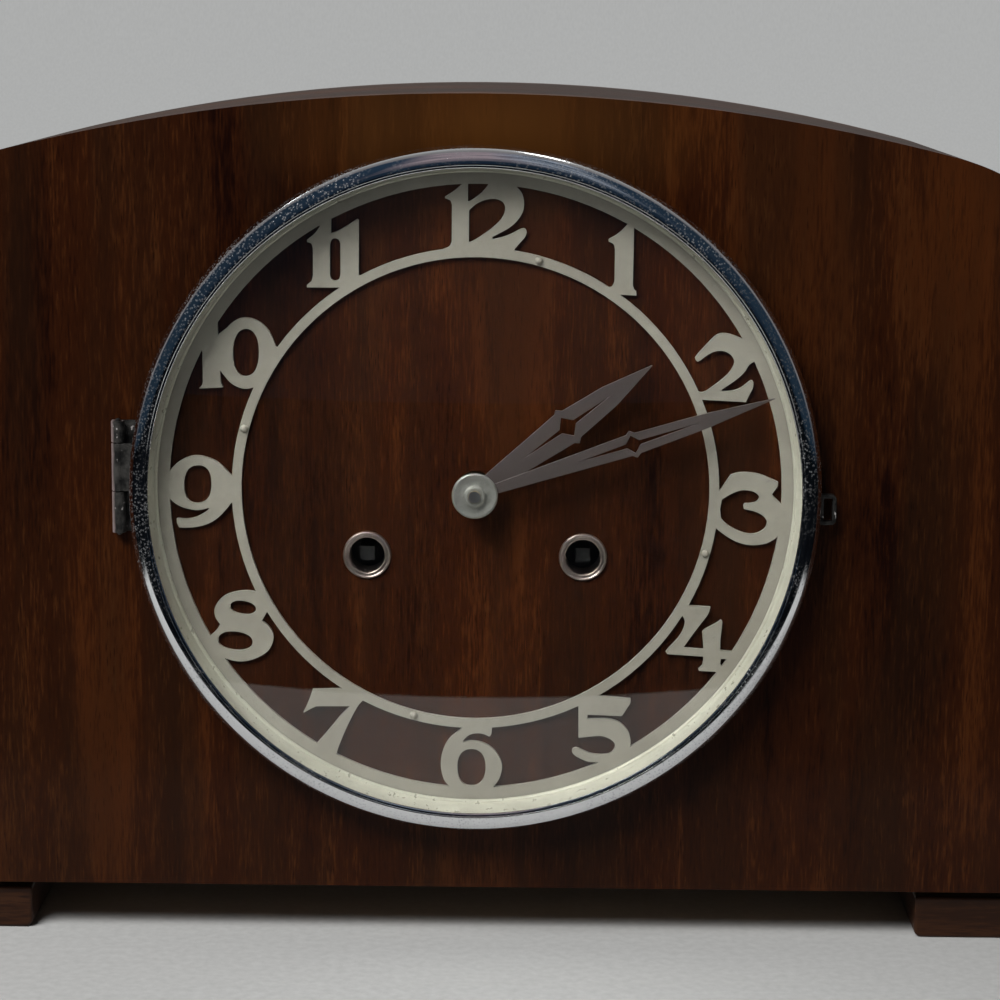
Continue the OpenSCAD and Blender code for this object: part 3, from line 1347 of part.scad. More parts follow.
// Motion work under the dial
motion_pinion_at = front_plate_at - 2.6;
motion_pinion_t = 2.2;
motion_gap = 0.3;
module cannon_pinion() {
    color(brass) difference() {
        union() {
            disc(-minute_out, minute_out + front_plate_at - motion_gap, pipe_r);
            pinion(motion_pinion_at, motion_pinion_t, cannon_z, cannon_m, centre_p, 0);
        }
        disc(-minute_out - 1, minute_out + front_plate_at + 2, pipe_bore);
    }
}
minute_phase = meshed(centre_p, minute_p, cannon_z, minute_z, 0);
hour_phase = meshed(minute_p, centre_p, minute_leaves, hour_z, minute_phase);
stud_r = 1.2;
hour_at = front_plate_at - 6;
minute_wheel_at = motion_pinion_at + pinion_over;
minute_pinion_at = hour_at - light_over;
module minute_wheel() {
    pinion_l = minute_wheel_at - minute_pinion_at;
    color(brass) difference() {
        union() {
            plain_wheel(minute_wheel_at, mid_wheel_t, minute_z, cannon_m, minute_p, minute_phase);
            pinion(minute_pinion_at, pinion_l, minute_leaves, minute_m, minute_p, minute_phase);
        }
        disc(minute_pinion_at - 1, pinion_l + mid_wheel_t + 2, stud_r + run_gap, p = minute_p);
    }
}

// The hour wheel's pipe carries the hour hand, and its snail has a step for each hour
snail_r = 8.6;
snail_t = 2.4;
snail_step = 0.36;
hour_pipe_past = 3;
module hour_wheel() {
    snail = [for (k = [0 : 11]) for (a = [30 * k, 30 * k + 30])
        (snail_r - snail_step * k) * [sin(a), cos(a)]];
    color(brass) difference() {
        union() {
            disc(-hour_out - hour_t, hour_out + hour_t + hour_at + hour_pipe_past, hour_pipe_r);
            plain_wheel(hour_at, full_wheel_t, hour_z, minute_m, centre_p, hour_phase);
            dial_slab(hour_at - snail_t, snail_t + run_gap) polygon(snail);
        }
        disc(-hour_out - 2, hour_out + front_plate_at + 4, hour_pipe_bore);
    }
}

// Movement plates with their pivot holes
pillar_p = [[45, 49], [-45, 49], [46, -44], [-46, -44]];
light_pivots = [second_p, third_p, escape_p, anchor_p, pin_p, warn_p, run_p, fly_p];
plate_corner = 6;
module plate_shape() {
    x = plate_half;
    polygon(concat(arc([x - plate_corner, plate_top - plate_corner], plate_corner, 0, 90, 6),
        arc([plate_corner - x, plate_top - plate_corner], plate_corner, 90, 180, 6),
        arc([plate_corner - x, plate_corner - plate_low], plate_corner, 180, 270, 6),
        arc([x - plate_corner, plate_corner - plate_low], plate_corner, 270, 360, 6)));
}
pillar_neck = 1.8;
stud_root = 0.5;
stud_past = 0.6;
click_shoulder_r = 2;
module plate_holes(at, places, r) {
    for (p = places) disc(at - 1, plate_t + 2, r, p = p);
}
// A stud or shoulder from here to its seat in the front plate
module plate_stud(at, r, p) {
    disc(at, front_plate_at + stud_root - at, r, p = p);
}
module front_plate() {
    color(brass) union() {
        difference() {
            dial_slab(front_plate_at, plate_t) plate_shape();
            plate_holes(front_plate_at, [centre_p], centre_r + run_gap);
            plate_holes(front_plate_at, [going_p, strike_p], winding_r + run_gap);
            plate_holes(front_plate_at, concat(light_pivots, [hammer_p]), pivot_r + run_gap);
            plate_holes(front_plate_at, pillar_p, pillar_neck);
        }
        plate_stud(hour_at - stud_past, stud_r, minute_p);
        for (s = [-1, 1]) {
            plate_stud(ratchet_at - run_gap, click_stud_r, click_p(s));
            plate_stud(click_at + click_t + shake, click_shoulder_r, click_p(s));
        }
    }
}
module back_plate() {
    color(brass) difference() {
        dial_slab(back_plate_at, plate_t) plate_shape();
        plate_holes(back_plate_at, [going_p, strike_p], centre_r + run_gap);
        plate_holes(back_plate_at, concat(light_pivots, [centre_p]), pivot_r + run_gap);
        plate_holes(back_plate_at, [hammer_p], light_arbor_r + run_gap);
        plate_holes(back_plate_at, pillar_p, pillar_neck);
    }
}
pillar_end = 4;
module pillars() {
    color(brass) for (p = pillar_p) {
        disc(gear_at, plate_gap, pillar_r, p = p);
        disc(front_plate_at, plate_t + 1, pillar_neck, p = p);
        disc(back_plate_at - 1, plate_t + pillar_end + 1, pillar_neck, p = p);
    }
}
pillar_nut_t = 2.6;
pillar_nut_r = 3.4;
module pillar_nuts() {
    color(brass) for (p = pillar_p)
        dial_slab(back_plate_at + plate_t, pillar_nut_t) translate(p) difference() {
        circle(pillar_nut_r, $fn = 6);
        circle(pillar_neck);
    }
}

// Four bent lugs stand the front plate off the board
lug_w = 10;
lug_t = 1.6;
lug_reach = 14;
lug_z = [30, -24];
screw_r = 1.6;
screw_head_r = 3;
screw_head_t = 1.6;
screw_slot = [0.7, 0.7];
screw_x = plate_half + lug_reach / 2 + 1;
module lug_solid(s, z) {
    x0 = s > 0 ? plate_half : -plate_half - lug_t;
    xl = s > 0 ? plate_half : -plate_half - lug_reach;
    dial_slab(front_t, gear_at - front_t) translate([x0, z - lug_w / 2]) square([lug_t, lug_w]);
    difference() {
        dial_slab(front_t, lug_t) translate([xl, z - lug_w / 2]) square([lug_reach, lug_w]);
        disc(front_t - 1, lug_t + 2, screw_r, p = [s * screw_x, z]);
    }
}
module mounting_lugs() {
    color(steel) for (s = [-1, 1]) for (z = lug_z) lug_solid(s, z);
}
module lug_screws() {
    color(steel) for (s = [-1, 1]) for (z = lug_z) {
        p = [s * screw_x, z];
        disc(front_t, lug_t, screw_r, p = p);
        difference() {
            disc(front_t + lug_t, screw_head_t, screw_head_r, p = p);
            dial_slab(front_t + lug_t + screw_head_t - screw_slot[1], 1) translate(p)
                square([2 * screw_head_r + 1, screw_slot[0]], center = true);
        }
    }
}

front_panel();
case_wrap();
base_board();
back_frame();
glue_blocks();
left_foot();
right_foot();
back_door();
door_knob();
door_hinge_fixed();
door_hinge_leaf();
turn_button();
button_screw();
chapter_ring();
ring_pins();
winding_grommets();
bezel();
sight_ring();
glass();
bezel_hinge_fixed();
bezel_hinge_leaf();
bezel_hinge_pin();
bezel_tab();
minute_hand();
hour_hand();
hand_nut();
cannon_pinion();
minute_wheel();
hour_wheel();
front_plate();
back_plate();
pillars();
pillar_nuts();
mounting_lugs();
lug_screws();
going_barrel();
going_mainspring();
going_arbor();
going_click();
second_wheel();
centre_wheel();
third_wheel();
escape_wheel();
anchor();
pendulum_cock();
pendulum_rod();
pendulum_bob();
rating_nut();
strike_barrel();
strike_mainspring();
strike_arbor();
strike_click();
pin_wheel();
warning_wheel();
run_wheel();
fly();
strike_hammer();
gong_block();
gong_rods();
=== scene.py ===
# Tambour mantel clock: finishes, turned parts and the studio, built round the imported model.
# Everything is in metres; the dial faces -Y and the feet stand on z = 0.
import json
import math

import bmesh
import bpy
import numpy as np
from mathutils import Matrix, Vector


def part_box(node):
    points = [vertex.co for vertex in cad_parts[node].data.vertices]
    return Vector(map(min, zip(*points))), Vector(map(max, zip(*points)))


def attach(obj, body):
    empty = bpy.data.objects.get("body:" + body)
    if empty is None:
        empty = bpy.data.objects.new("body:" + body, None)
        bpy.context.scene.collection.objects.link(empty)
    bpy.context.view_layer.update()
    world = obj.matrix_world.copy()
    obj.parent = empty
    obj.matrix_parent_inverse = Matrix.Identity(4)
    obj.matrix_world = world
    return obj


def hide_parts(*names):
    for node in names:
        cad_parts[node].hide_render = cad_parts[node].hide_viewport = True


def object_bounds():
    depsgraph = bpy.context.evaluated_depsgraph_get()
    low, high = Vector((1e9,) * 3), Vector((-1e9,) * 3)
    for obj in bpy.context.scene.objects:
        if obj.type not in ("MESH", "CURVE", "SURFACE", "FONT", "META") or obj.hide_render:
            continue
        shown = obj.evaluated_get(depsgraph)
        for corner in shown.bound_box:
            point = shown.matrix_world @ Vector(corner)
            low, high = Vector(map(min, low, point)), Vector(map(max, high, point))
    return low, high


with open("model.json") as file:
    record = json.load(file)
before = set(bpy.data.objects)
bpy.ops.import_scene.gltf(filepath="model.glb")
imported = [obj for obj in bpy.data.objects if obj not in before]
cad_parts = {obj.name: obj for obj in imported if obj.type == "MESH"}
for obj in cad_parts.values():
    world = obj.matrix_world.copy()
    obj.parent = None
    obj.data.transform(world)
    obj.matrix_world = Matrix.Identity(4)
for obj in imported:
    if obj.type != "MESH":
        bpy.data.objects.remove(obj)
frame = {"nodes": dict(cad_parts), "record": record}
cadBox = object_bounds()
cadNodes = frame["nodes"]
print("frame loaded:", len(cadNodes), "nodes")

mm = 0.001


def middle(nodeName):
    # x and z of the middle of a node's box
    low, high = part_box(nodeName)
    return (low.x + high.x) / 2, (low.z + high.z) / 2


# Where things are, taken from the frame
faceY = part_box("front_panel")[0].y
dial = middle("chapter_ring")
winding = middle("going_arbor")


class Wire:
    # one output of a node; + - and * on it add Math nodes
    def __init__(self, tree, socket):
        self.tree = tree
        self.socket = socket

    def math(self, operation, first, second=None, clamp=False):
        node = self.tree.nodes.new("ShaderNodeMath")
        node.operation = operation
        node.use_clamp = clamp
        for place, value in zip(node.inputs, (first, second)):
            plug(self.tree, place, value)
        return Wire(self.tree, node.outputs[0])

    def __add__(self, other):
        return self.math("ADD", self, other)

    def __radd__(self, other):
        return self.math("ADD", other, self)

    def __sub__(self, other):
        return self.math("SUBTRACT", self, other)

    def __rsub__(self, other):
        return self.math("SUBTRACT", other, self)

    def __mul__(self, other):
        return self.math("MULTIPLY", self, other)

    def size(self):
        return self.math("ABSOLUTE", self)

    def clamped(self):
        return self.math("ADD", self, 0.0, clamp=True)


def plug(tree, place, value):
    # a wire is linked, a number or a colour is set, and None leaves the socket as it is
    if value is None:
        return
    if isinstance(value, Wire):
        tree.links.new(value.socket, place)
    elif isinstance(value, tuple) and len(value) == 3 and place.type == "RGBA":
        place.default_value = (*value, 1.0)
    else:
        place.default_value = value


class Finish:
    # a node tree, of a new material or of the owner given; surface() closes it with one
    # Principled shader
    def __init__(self, name, owner=None):
        self.material = owner or bpy.data.materials.new(name)
        self.material.use_nodes = True
        self.tree = self.material.node_tree
        self.tree.nodes.clear()

    def node(self, kind, settings=None, inputs=None, output=0):
        # settings go first, then the sockets; what comes back is one output, by number or name,
        # or nothing from a node without any
        made = self.tree.nodes.new("ShaderNode" + kind)
        for key, value in (settings or {}).items():
            setattr(made, key, value)
        for key, value in (inputs or {}).items():
            plug(self.tree, made.inputs[key], value)
        return Wire(self.tree, made.outputs[output]) if made.outputs else None

    def place(self, scale=(1, 1, 1), shift=(0, 0, 0)):
        return self.mapped(self.node("TexCoord", output="Object"), scale, shift)

    def mapped(self, where, scale, shift=(0, 0, 0)):
        return self.node("Mapping", inputs={"Vector": where, "Scale": scale, "Location": shift})

    def distance(self, scale=(1, 1, 1), shift=(0, 0, 0)):
        # how far a place is from the origin, once it is scaled and shifted
        where = self.place(scale, shift)
        return self.node("VectorMath", {"operation": "LENGTH"}, {0: where}, "Value")

    def part(self, axis, where=None):
        # the X, Y or Z of a place, or of another vector
        return self.node("SeparateXYZ", inputs={0: where or self.place()}, output=axis)

    def noise(self, where, scale, detail=3.0, roughness=0.5, distortion=0.0):
        return self.node(
            "TexNoise",
            inputs={
                "Vector": where,
                "Scale": scale,
                "Detail": detail,
                "Roughness": roughness,
                "Distortion": distortion,
            },
        )

    def cells(self, where, scale):
        # the distance from the nearest of many scattered points
        return self.node("TexVoronoi", {"feature": "F1"}, {"Vector": where, "Scale": scale})

    def ramp(self, value, stops, mode="LINEAR"):
        made = self.node("ValToRGB", inputs={0: value})
        colours = made.socket.node.color_ramp
        colours.interpolation = mode
        while len(colours.elements) > 1:
            colours.elements.remove(colours.elements[-1])
        for index, (at, colour) in enumerate(stops):
            stop = colours.elements.new(at) if index else colours.elements[0]
            stop.position = at
            stop.color = (*colour, 1.0)
        return made

    def level(self, value, low, high, start=0.0, end=1.0):
        # maps low..high of a value onto start..end, held at both ends
        return self.node(
            "MapRange",
            {"clamp": True},
            {"Value": value, "From Min": low, "From Max": high, "To Min": start, "To Max": end},
        )

    def blendColours(self, factor, first, second):
        # the Mix node keeps its colours on sockets 6 and 7, and its mixed colour on output 2
        return self.node("Mix", {"data_type": "RGBA"}, {0: factor, 6: first, 7: second}, 2)

    def bump(self, height, strength, depth):
        return self.node("Bump", inputs={"Height": height, "Strength": strength, "Distance": depth})

    def surface(self, glowing=None, **sockets):
        # glowing is the share that shows a plain colour of its own, and that colour
        sockets = {socketNames[key]: value for key, value in sockets.items()}
        shader = self.node("BsdfPrincipled", inputs=sockets)
        if glowing:
            glow = self.node("Emission", inputs={"Color": glowing[1]})
            shader = self.node("MixShader", inputs={0: glowing[0], 1: shader, 2: glow})
        self.node("OutputMaterial", inputs={"Surface": shader})
        return self.material

    def mirrored(self):
        # 1 on a ray that has met a mirror, also when it leaves the glass again
        return self.node("LightPath", output="Glossy Depth").clamped()

    def seenStraight(self):
        # 1 on a ray from the camera, also through the glass
        through = self.node("LightPath", output="Is Transmission Ray") * (1.0 - self.mirrored())
        return (self.node("LightPath", output="Is Camera Ray") + through).clamped()


socketNames = {
    "colour": "Base Color",
    "rough": "Roughness",
    "metal": "Metallic",
    "coat": "Coat Weight",
    "coatRough": "Coat Roughness",
    "coatIor": "Coat IOR",
    "ior": "IOR",
    "specular": "Specular IOR Level",
    "transmission": "Transmission Weight",
    "normal": "Normal",
}


def shaded(colour, share):
    return tuple(c * share for c in colour)


walnutLooks = {  # the front's last two entries are painted light: the x, z, half width and half height in mm of a warmer, brighter patch at the top of the front board, and its colour
    "front": {
        "dark": (0.0072, 0.0018, 0.0009),
        "mid": (0.0225, 0.0056, 0.0016),
        "brown": (0.0150, 0.0056, 0.0024),
        "warm": (0.047, 0.0124, 0.0028),
        "fleck": (0.070, 0.0250, 0.0068),
        "seed": 3.7,
        "paintedLightAt": (2, 206, 62, 24),
        "paintedLightColour": (0.080, 0.0290, 0.0058),
    },
    "wrap": {
        "dark": (0.0060, 0.0017, 0.0006),
        "mid": (0.0190, 0.0052, 0.0015),
        "brown": (0.0160, 0.0062, 0.0022),
        "warm": (0.041, 0.0120, 0.0029),
        "fleck": (0.080, 0.0270, 0.0065),
        "seed": 8.1,
    },
    "back": {
        "dark": (0.011, 0.0042, 0.0020),
        "mid": (0.030, 0.0110, 0.0045),
        "brown": (0.026, 0.0120, 0.0055),
        "warm": (0.056, 0.0220, 0.0086),
        "fleck": (0.078, 0.0330, 0.0130),
        "seed": 12.4,
    },
    # painted shade: the feet's walnut is kept darker than the back's, as the feet stand in shadow
    # under the board
    "feet": {
        "dark": (0.0065, 0.0023, 0.0011),
        "mid": (0.0190, 0.0065, 0.0027),
        "brown": (0.017, 0.0070, 0.0032),
        "warm": (0.037, 0.0135, 0.0053),
        "fleck": (0.050, 0.0200, 0.0080),
        "seed": 5.2,
    },
}
walnutScale = {  # how often each mark repeats in a metre, across the grain and along it
    "cloud": (9.0, 5.5),
    "figure": (34.0, 3.4),
    "streak": (230.0, 17.0),
    "fibre": (1750.0, 160.0),
    "pore": (1700.0, 190.0),
}
walnutMix = {
    "figure": 0.52,  # the share of each mark in the tone, and what is taken off the sum
    "streak": 0.34,
    "cloud": 0.46,
    "fibre": 0.34,
    "less": 0.355,
    "stops": (0.34, 0.47, 0.60, 0.72),  # the tones at which dark, mid, warm and mid again are full
    "brownCover": 0.65,  # how fully each of these hides the tone
    "fleckCover": 0.46,
    # the last of these is the painted light at the top of the front board
    "poreCover": 0.70,
    "paintedLightCover": 0.70,
    "poreShade": 0.3,
    "roughRange": 0.14,
    "coatIor": 1.45,
    "poreDepth": 0.00008,
}


def walnut(name, look, gloss, grain="x"):
    # broad clouds, long figure, streaks, fine fibres and short open pores, all drawn out along the
    # grain; grain is x or z for a straight board, and u for veneer whose grain follows its UV map
    wood = Finish(name)
    mix = walnutMix
    lengthwise = {"x": (1, 0, 0), "z": (0, 0, 1), "u": (1, 0, 0)}[grain]

    def stretched(mark, shift):
        across, along = walnutScale[mark]
        scale = tuple(along if axis else across for axis in lengthwise)
        if grain == "u":
            where = wood.node("UVMap", {"uv_map": "grainMap"})
        else:
            where = wood.node("TexCoord", output="Object")
        return wood.mapped(where, scale, (look["seed"], shift, look["seed"] * 0.7))

    cloud = wood.noise(stretched("cloud", 0.3), 1.0, 2.0)
    figure = wood.noise(stretched("figure", 1.1), 1.0, 5.0, 0.58, 0.7)
    streak = wood.noise(stretched("streak", 2.7), 1.0, 5.0, 0.66, 0.35)
    fibre = wood.noise(stretched("fibre", 4.9), 1.0, 3.0, 0.6)
    cells = wood.cells(stretched("pore", 7.3), 1.0)
    pores = wood.level(cells, 0.10, 0.30, 1.0, 0.0) * wood.level(streak, 0.42, 0.62)
    tone = figure * mix["figure"] + streak * mix["streak"] + cloud * mix["cloud"]
    tone = tone + fibre * mix["fibre"] - mix["less"]
    shades = (look["dark"], look["mid"], look["warm"], look["mid"])
    colour = wood.ramp(tone, list(zip(mix["stops"], shades)), "EASE")
    brown = wood.level(wood.noise(stretched("figure", 9.3), 1.6, 3.0), 0.42, 0.60)
    colour = wood.blendColours(brown * mix["brownCover"], colour, look["brown"])
    flecks = wood.level(streak * 0.35 + fibre * 0.65, 0.55, 0.70)
    flecks = flecks * wood.level(cloud, 0.35, 0.6, 0.3, 1.0)
    colour = wood.blendColours(flecks * mix["fleckCover"], colour, look["fleck"])
    poreColour = shaded(look["dark"], mix["poreShade"])
    colour = wood.blendColours(pores * mix["poreCover"], colour, poreColour)
    # painted light: a warmer, brighter patch at the top of the front board, where the light falls
    if "paintedLightAt" in look:
        x, z, halfWidth, halfHeight = (value * mm for value in look["paintedLightAt"])
        scale = (1 / halfWidth, 0, 1 / halfHeight)
        away = wood.distance(scale, (-x / halfWidth, 0, -z / halfHeight))
        paintedLight = wood.level(away, 0.1, 1.0, mix["paintedLightCover"], 0.0)
        paintedLight = paintedLight * wood.level(figure, 0.35, 0.6, 0.45, 1.0)
        colour = wood.blendColours(paintedLight, colour, look["paintedLightColour"])
    height = 0.5 + fibre * 0.12 - pores * 0.6
    return wood.surface(
        colour=colour,
        rough=wood.level(fibre, 0.3, 0.7, gloss["rough"], gloss["rough"] + mix["roughRange"]),
        specular=gloss["specular"],
        coat=gloss["coat"],
        coatRough=gloss["coatRough"],
        coatIor=mix["coatIor"],
        normal=wood.bump(height, gloss["relief"], mix["poreDepth"]),
    )


def plainWood(name, light, dark, across, rough):
    # straight-grained softwood or stained board: streaks along X with sparse darker lines
    wood = Finish(name)
    rings = wood.noise(wood.place((6, across, across)), 1.0, 4.0, 0.6, 0.4)
    fibres = wood.noise(wood.place((60, 700, 700)), 1.0, 3.0)
    tone = wood.level(rings * 0.7 + fibres * 0.3, 0.36, 0.62)
    colour = wood.blendColours(tone, dark, light)
    return wood.surface(
        colour=colour,
        rough=wood.level(fibres, 0.3, 0.7, rough, rough + 0.12),
        normal=wood.bump(fibres, 0.35, 0.0001),
    )


metalMarks = {  # how often each mark repeats in a metre, and the colours that are the same for all
    "patches": 55,
    "specks": 900,
    "pits": 1500.0,
    "acrossGrain": 2600,
    "alongGrain": 25,
    "pitColour": (0.026, 0.056, 0.078),
    "arborColour": (0.42, 0.42, 0.43),
    "arborEdge": (0.00145, 0.00150),  # distances from the axis over which steel gives way to brass
    "wornShade": 0.72,
}


def metal(name, colour, rough, grain=0.0, grainAlong="z", haze=0.0, tarnish=None, relief=0.12,
          pits=0.0, axis=None, shine=1.0, depth=0.00003):
    # polished or brushed metal; haze is uneven wiping marks, tarnish a second colour in patches,
    # pits are small dark specks sunk in the plating, axis is the x, z of a steel arbor through the
    # piece, shine below 1 is a surface gone dull, and depth is how deep its unevenness goes
    made = Finish(name)
    marks = metalMarks
    patches = made.noise(made.place((marks["patches"],) * 3), 1.0, 5.0, 0.62)
    specks = made.noise(made.place((marks["specks"],) * 3), 1.0, 2.0)
    if tarnish:
        mask = made.level(patches * 0.75 + specks * 0.25, 0.48, 0.70)
        colourOut = made.blendColours(mask * 0.75, colour, tarnish)
    else:
        mask = made.level(patches * 0.7 + specks * 0.3, 0.40, 0.66)
        colourOut = made.blendColours(mask * 0.25, colour, shaded(colour, marks["wornShade"]))
    roughOut = made.level(patches, 0.35, 0.70, rough, rough + 0.05 + haze)
    height = specks * 0.3 + patches * 0.3
    if pits:
        cells = made.cells(made.place(), marks["pits"])
        sunk = made.level(cells, 0.08, 0.46, 1.0, 0.0) * made.level(patches, 0.38, 0.60)
        colourOut = made.blendColours(sunk * pits, colourOut, marks["pitColour"])
        roughOut = roughOut + sunk * 0.15
        shine = shine - sunk * pits * 0.8
    if axis:
        brass = made.level(made.distance((1, 0, 1), (-axis[0], 0, -axis[1])), *marks["arborEdge"])
        colourOut = made.blendColours(brass, marks["arborColour"], colourOut)
    if grain:
        along, across = marks["alongGrain"], marks["acrossGrain"]
        scale = tuple(along if axisName == grainAlong else across for axisName in "xyz")
        lines = made.noise(made.place(scale), 1.0, 2.0)
        roughOut = roughOut + (lines - 0.5) * grain
        height = height + lines * 0.7
    return made.surface(
        colour=colourOut,
        metal=shine,
        rough=roughOut,
        normal=made.bump(height, relief, depth),
    )


def satinPlate(name, light, shade, rough, sheen):
    # silvered plate gone cream: cloudy tone, faint spotting and a soft metallic sheen
    made = Finish(name)
    cloud = made.noise(made.place((38, 38, 38)), 1.0, 4.0, 0.6)
    spots = made.noise(made.place((420, 420, 420)), 1.0, 3.0, 0.7)
    tone = made.level(cloud * 0.7 + spots * 0.3, 0.36, 0.66)
    colour = made.blendColours(tone, light, shade)
    freckle = made.level(spots, 0.66, 0.78)
    colour = made.blendColours(freckle * 0.35, colour, shaded(shade, 0.45))
    return made.surface(
        colour=colour,
        metal=sheen,
        rough=made.level(spots, 0.3, 0.7, rough, rough + 0.1),
        normal=made.bump(spots, 0.10, 0.00003),
    )


def clearGlass(name):
    # clean old window glass: nearly colourless, with the faintest waviness
    made = Finish(name)
    wave = made.noise(made.place((14, 14, 14)), 1.0, 1.0)
    return made.surface(
        # part painted shade: this grey tint darkens everything seen through the glass, standing in
        # for the shade the glass would cast, as it casts no shadow
        colour=(0.89, 0.90, 0.885),
        rough=0.0,
        ior=1.47,
        transmission=1.0,
        normal=made.bump(wave, 0.03, 0.0004),
    )


polished = {"rough": 0.45, "specular": 0.06, "coat": 0.10, "coatRough": 0.16, "relief": 0.25}
lacquered = {"rough": 0.42, "specular": 0.03, "coat": 0.05, "coatRough": 0.16, "relief": 0.2}
satinVarnish = {"rough": 0.46, "specular": 0.10, "coat": 0.20, "coatRough": 0.28, "relief": 0.4}
board = {"light": (0.36, 0.23, 0.12), "dark": (0.22, 0.12, 0.055), "across": 42, "rough": 0.62}
doorBoard = {"light": (0.115, 0.055, 0.025), "dark": (0.055, 0.024, 0.011), "across": 60,
             "rough": 0.48}
brass = {"colour": (0.66, 0.48, 0.20), "rough": 0.28, "grain": 0.14, "haze": 0.08,
         "tarnish": (0.42, 0.28, 0.11)}
finishes = {
    "walnut_front": walnut("walnutFront", walnutLooks["front"], polished, "z"),
    "walnut_wrap": walnut("walnutWrap", walnutLooks["wrap"], lacquered, "u"),
    "walnut_back": walnut("walnutBack", walnutLooks["back"], satinVarnish),
    # the feet's walnut is darkened as painted shade
    "walnut_feet": walnut("walnutFeet", walnutLooks["feet"], satinVarnish),
    "board_wood": plainWood("plainBoard", **board),
    "door_wood": plainWood("stainedBoard", **doorBoard),
    "door_brass": metal("agedBrass", (0.60, 0.43, 0.17), 0.26, haze=0.15,
                        tarnish=(0.30, 0.19, 0.075)),
    "screw_steel": metal("screwSteel", (0.40, 0.39, 0.38), 0.34, haze=0.12,
                         tarnish=(0.20, 0.17, 0.14)),
    "ring_cream": satinPlate("silveredRing", (0.270, 0.256, 0.214), (0.215, 0.200, 0.166), 0.42,
                             0.15),
    "sight_cream": satinPlate("silveredSight", (0.58, 0.57, 0.475), (0.45, 0.44, 0.360), 0.26,
                              0.45),
    "pin_nickel": metal("dullNickel", (0.52, 0.43, 0.39), 0.30, haze=0.12),
    "bezel_chrome": metal("chromePlate", (0.80, 0.81, 0.82), 0.06, haze=0.07, relief=0.06,
                          pits=0.28),
    "domed_glass": clearGlass("domedGlass"),
    "hand_steel": metal("silveredSteel", (0.112, 0.093, 0.089), 0.33, grain=0.12, grainAlong="x",
                        haze=0.1, shine=0.6),
    "movement_brass": metal("brushedBrass", **brass),
    "bob_brass": metal("polishedBrass", (0.70, 0.51, 0.21), 0.16, grain=0.08, haze=0.08),
    "movement_steel": metal("polishedSteel", (0.42, 0.42, 0.43), 0.24, haze=0.08),
    "spring_steel": metal("bluedSteel", (0.10, 0.12, 0.18), 0.30, haze=0.08),
    "gong_iron": metal("paintedIron", (0.020, 0.020, 0.022), 0.50, haze=0.1, relief=0.5),
    "gong_steel": metal("copperedSteel", (0.36, 0.24, 0.16), 0.30, haze=0.12,
                        tarnish=(0.20, 0.13, 0.09)),
}
slotOf = {part["node"]: part["material_slot"] for part in frame["record"]["subparts"]}
bodies = frame["record"]["behaviour"]["bodies"]
bodyOf = {node: body for body, names in bodies.items() for node in names}

# hinge and tab colours: dark and light mottle the plating, kept dark as a painted reflection of the
# dim room; edge is a painted highlight along the outer edge, the next colour is painted glints, and
# the width says how far in that highlight reaches
hingeLook = {
    "dark": (0.022, 0.022, 0.021),
    "light": (0.080, 0.076, 0.070),
    "edge": (0.36, 0.28, 0.27),
    "paintedGlint": (0.75, 0.70, 0.68),
    "highlightWidth": 0.0009,
}


def hingePlate(name, edge):
    # plating worn dull in patches, its dark colour a painted reflection of the dim room; a painted
    # highlight runs as a bright pinkish strip along its outer edge, with a few painted glints; edge
    # is the x where the painted highlight starts
    made = Finish(name)
    look = hingeLook
    patches = made.noise(made.place((260, 260, 260)), 1.0, 5.0, 0.65)
    # a painted highlight strip along the outer edge, and painted glints where the noise peaks
    highlightStrip = made.level(made.part("X") + (patches - 0.5) * 0.0012, edge, edge - 0.0006)
    glints = made.level(made.noise(made.place((700, 700, 480)), 1.0, 2.0), 0.66, 0.72)
    dull = made.blendColours(made.level(patches, 0.40, 0.60), look["dark"], look["light"])
    dullWithHighlight = made.blendColours(highlightStrip, dull, look["edge"])
    return made.surface(
        colour=made.blendColours(glints, dullWithHighlight, look["paintedGlint"]),
        metal=0.45,
        rough=made.level(patches, 0.35, 0.70, 0.30, 0.50),
        normal=made.bump(patches, 0.7, 0.0003),
    )


noHighlight = -1.0  # an x that no piece reaches, so a piece given it gets no painted highlight strip
ownFinish = {  # pieces with a finish of their own within their slot: some aged in their own way, the hinges and tab with painted highlights and a dark painted reflection, the winding arbors with painted shade
    "hand_nut": metal("dullZinc", (0.41, 0.41, 0.375), 0.30, haze=0.2, tarnish=(0.20, 0.20, 0.17),
                      relief=0.9, shine=0.8, depth=0.0006),
    # painted shade: the winding arbors are coloured nearly black so their ends look dark in the
    # winding holes
    "going_arbor": metal("oiledSteel", (0.10, 0.10, 0.10), 0.38, haze=0.1),
    "bezel_tab": hingePlate("wornTab", noHighlight),
}
ownFinish["strike_arbor"] = ownFinish["going_arbor"]
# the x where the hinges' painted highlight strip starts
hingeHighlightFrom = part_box("bezel_hinge_fixed")[0].x + hingeLook["highlightWidth"]
for nodeName in ("bezel_hinge_fixed", "bezel_hinge_leaf", "bezel_hinge_pin"):
    ownFinish[nodeName] = hingePlate(nodeName + "Worn", hingeHighlightFrom)
for nodeName in ("centre_wheel", "second_wheel", "third_wheel", "escape_wheel", "pin_wheel",
                 "warning_wheel", "run_wheel", "fly"):  # brass wheels on steel arbors
    ownFinish[nodeName] = metal(nodeName + "Brass", axis=middle(nodeName), **brass)
for nodeName, cadPiece in cadNodes.items():
    cadPiece.data.materials.clear()
    cadPiece.data.materials.append(ownFinish.get(nodeName, finishes[slotOf[nodeName]]))
print("finishes made:", len(finishes))


def placed(piece, nodeName):
    # gives a new piece the finish of its node's slot and its node's body, and hides the node
    piece.data.materials.clear()
    piece.data.materials.append(ownFinish.get(nodeName, finishes[slotOf[nodeName]]))
    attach(piece, bodyOf[nodeName])
    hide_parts(nodeName)
    return piece


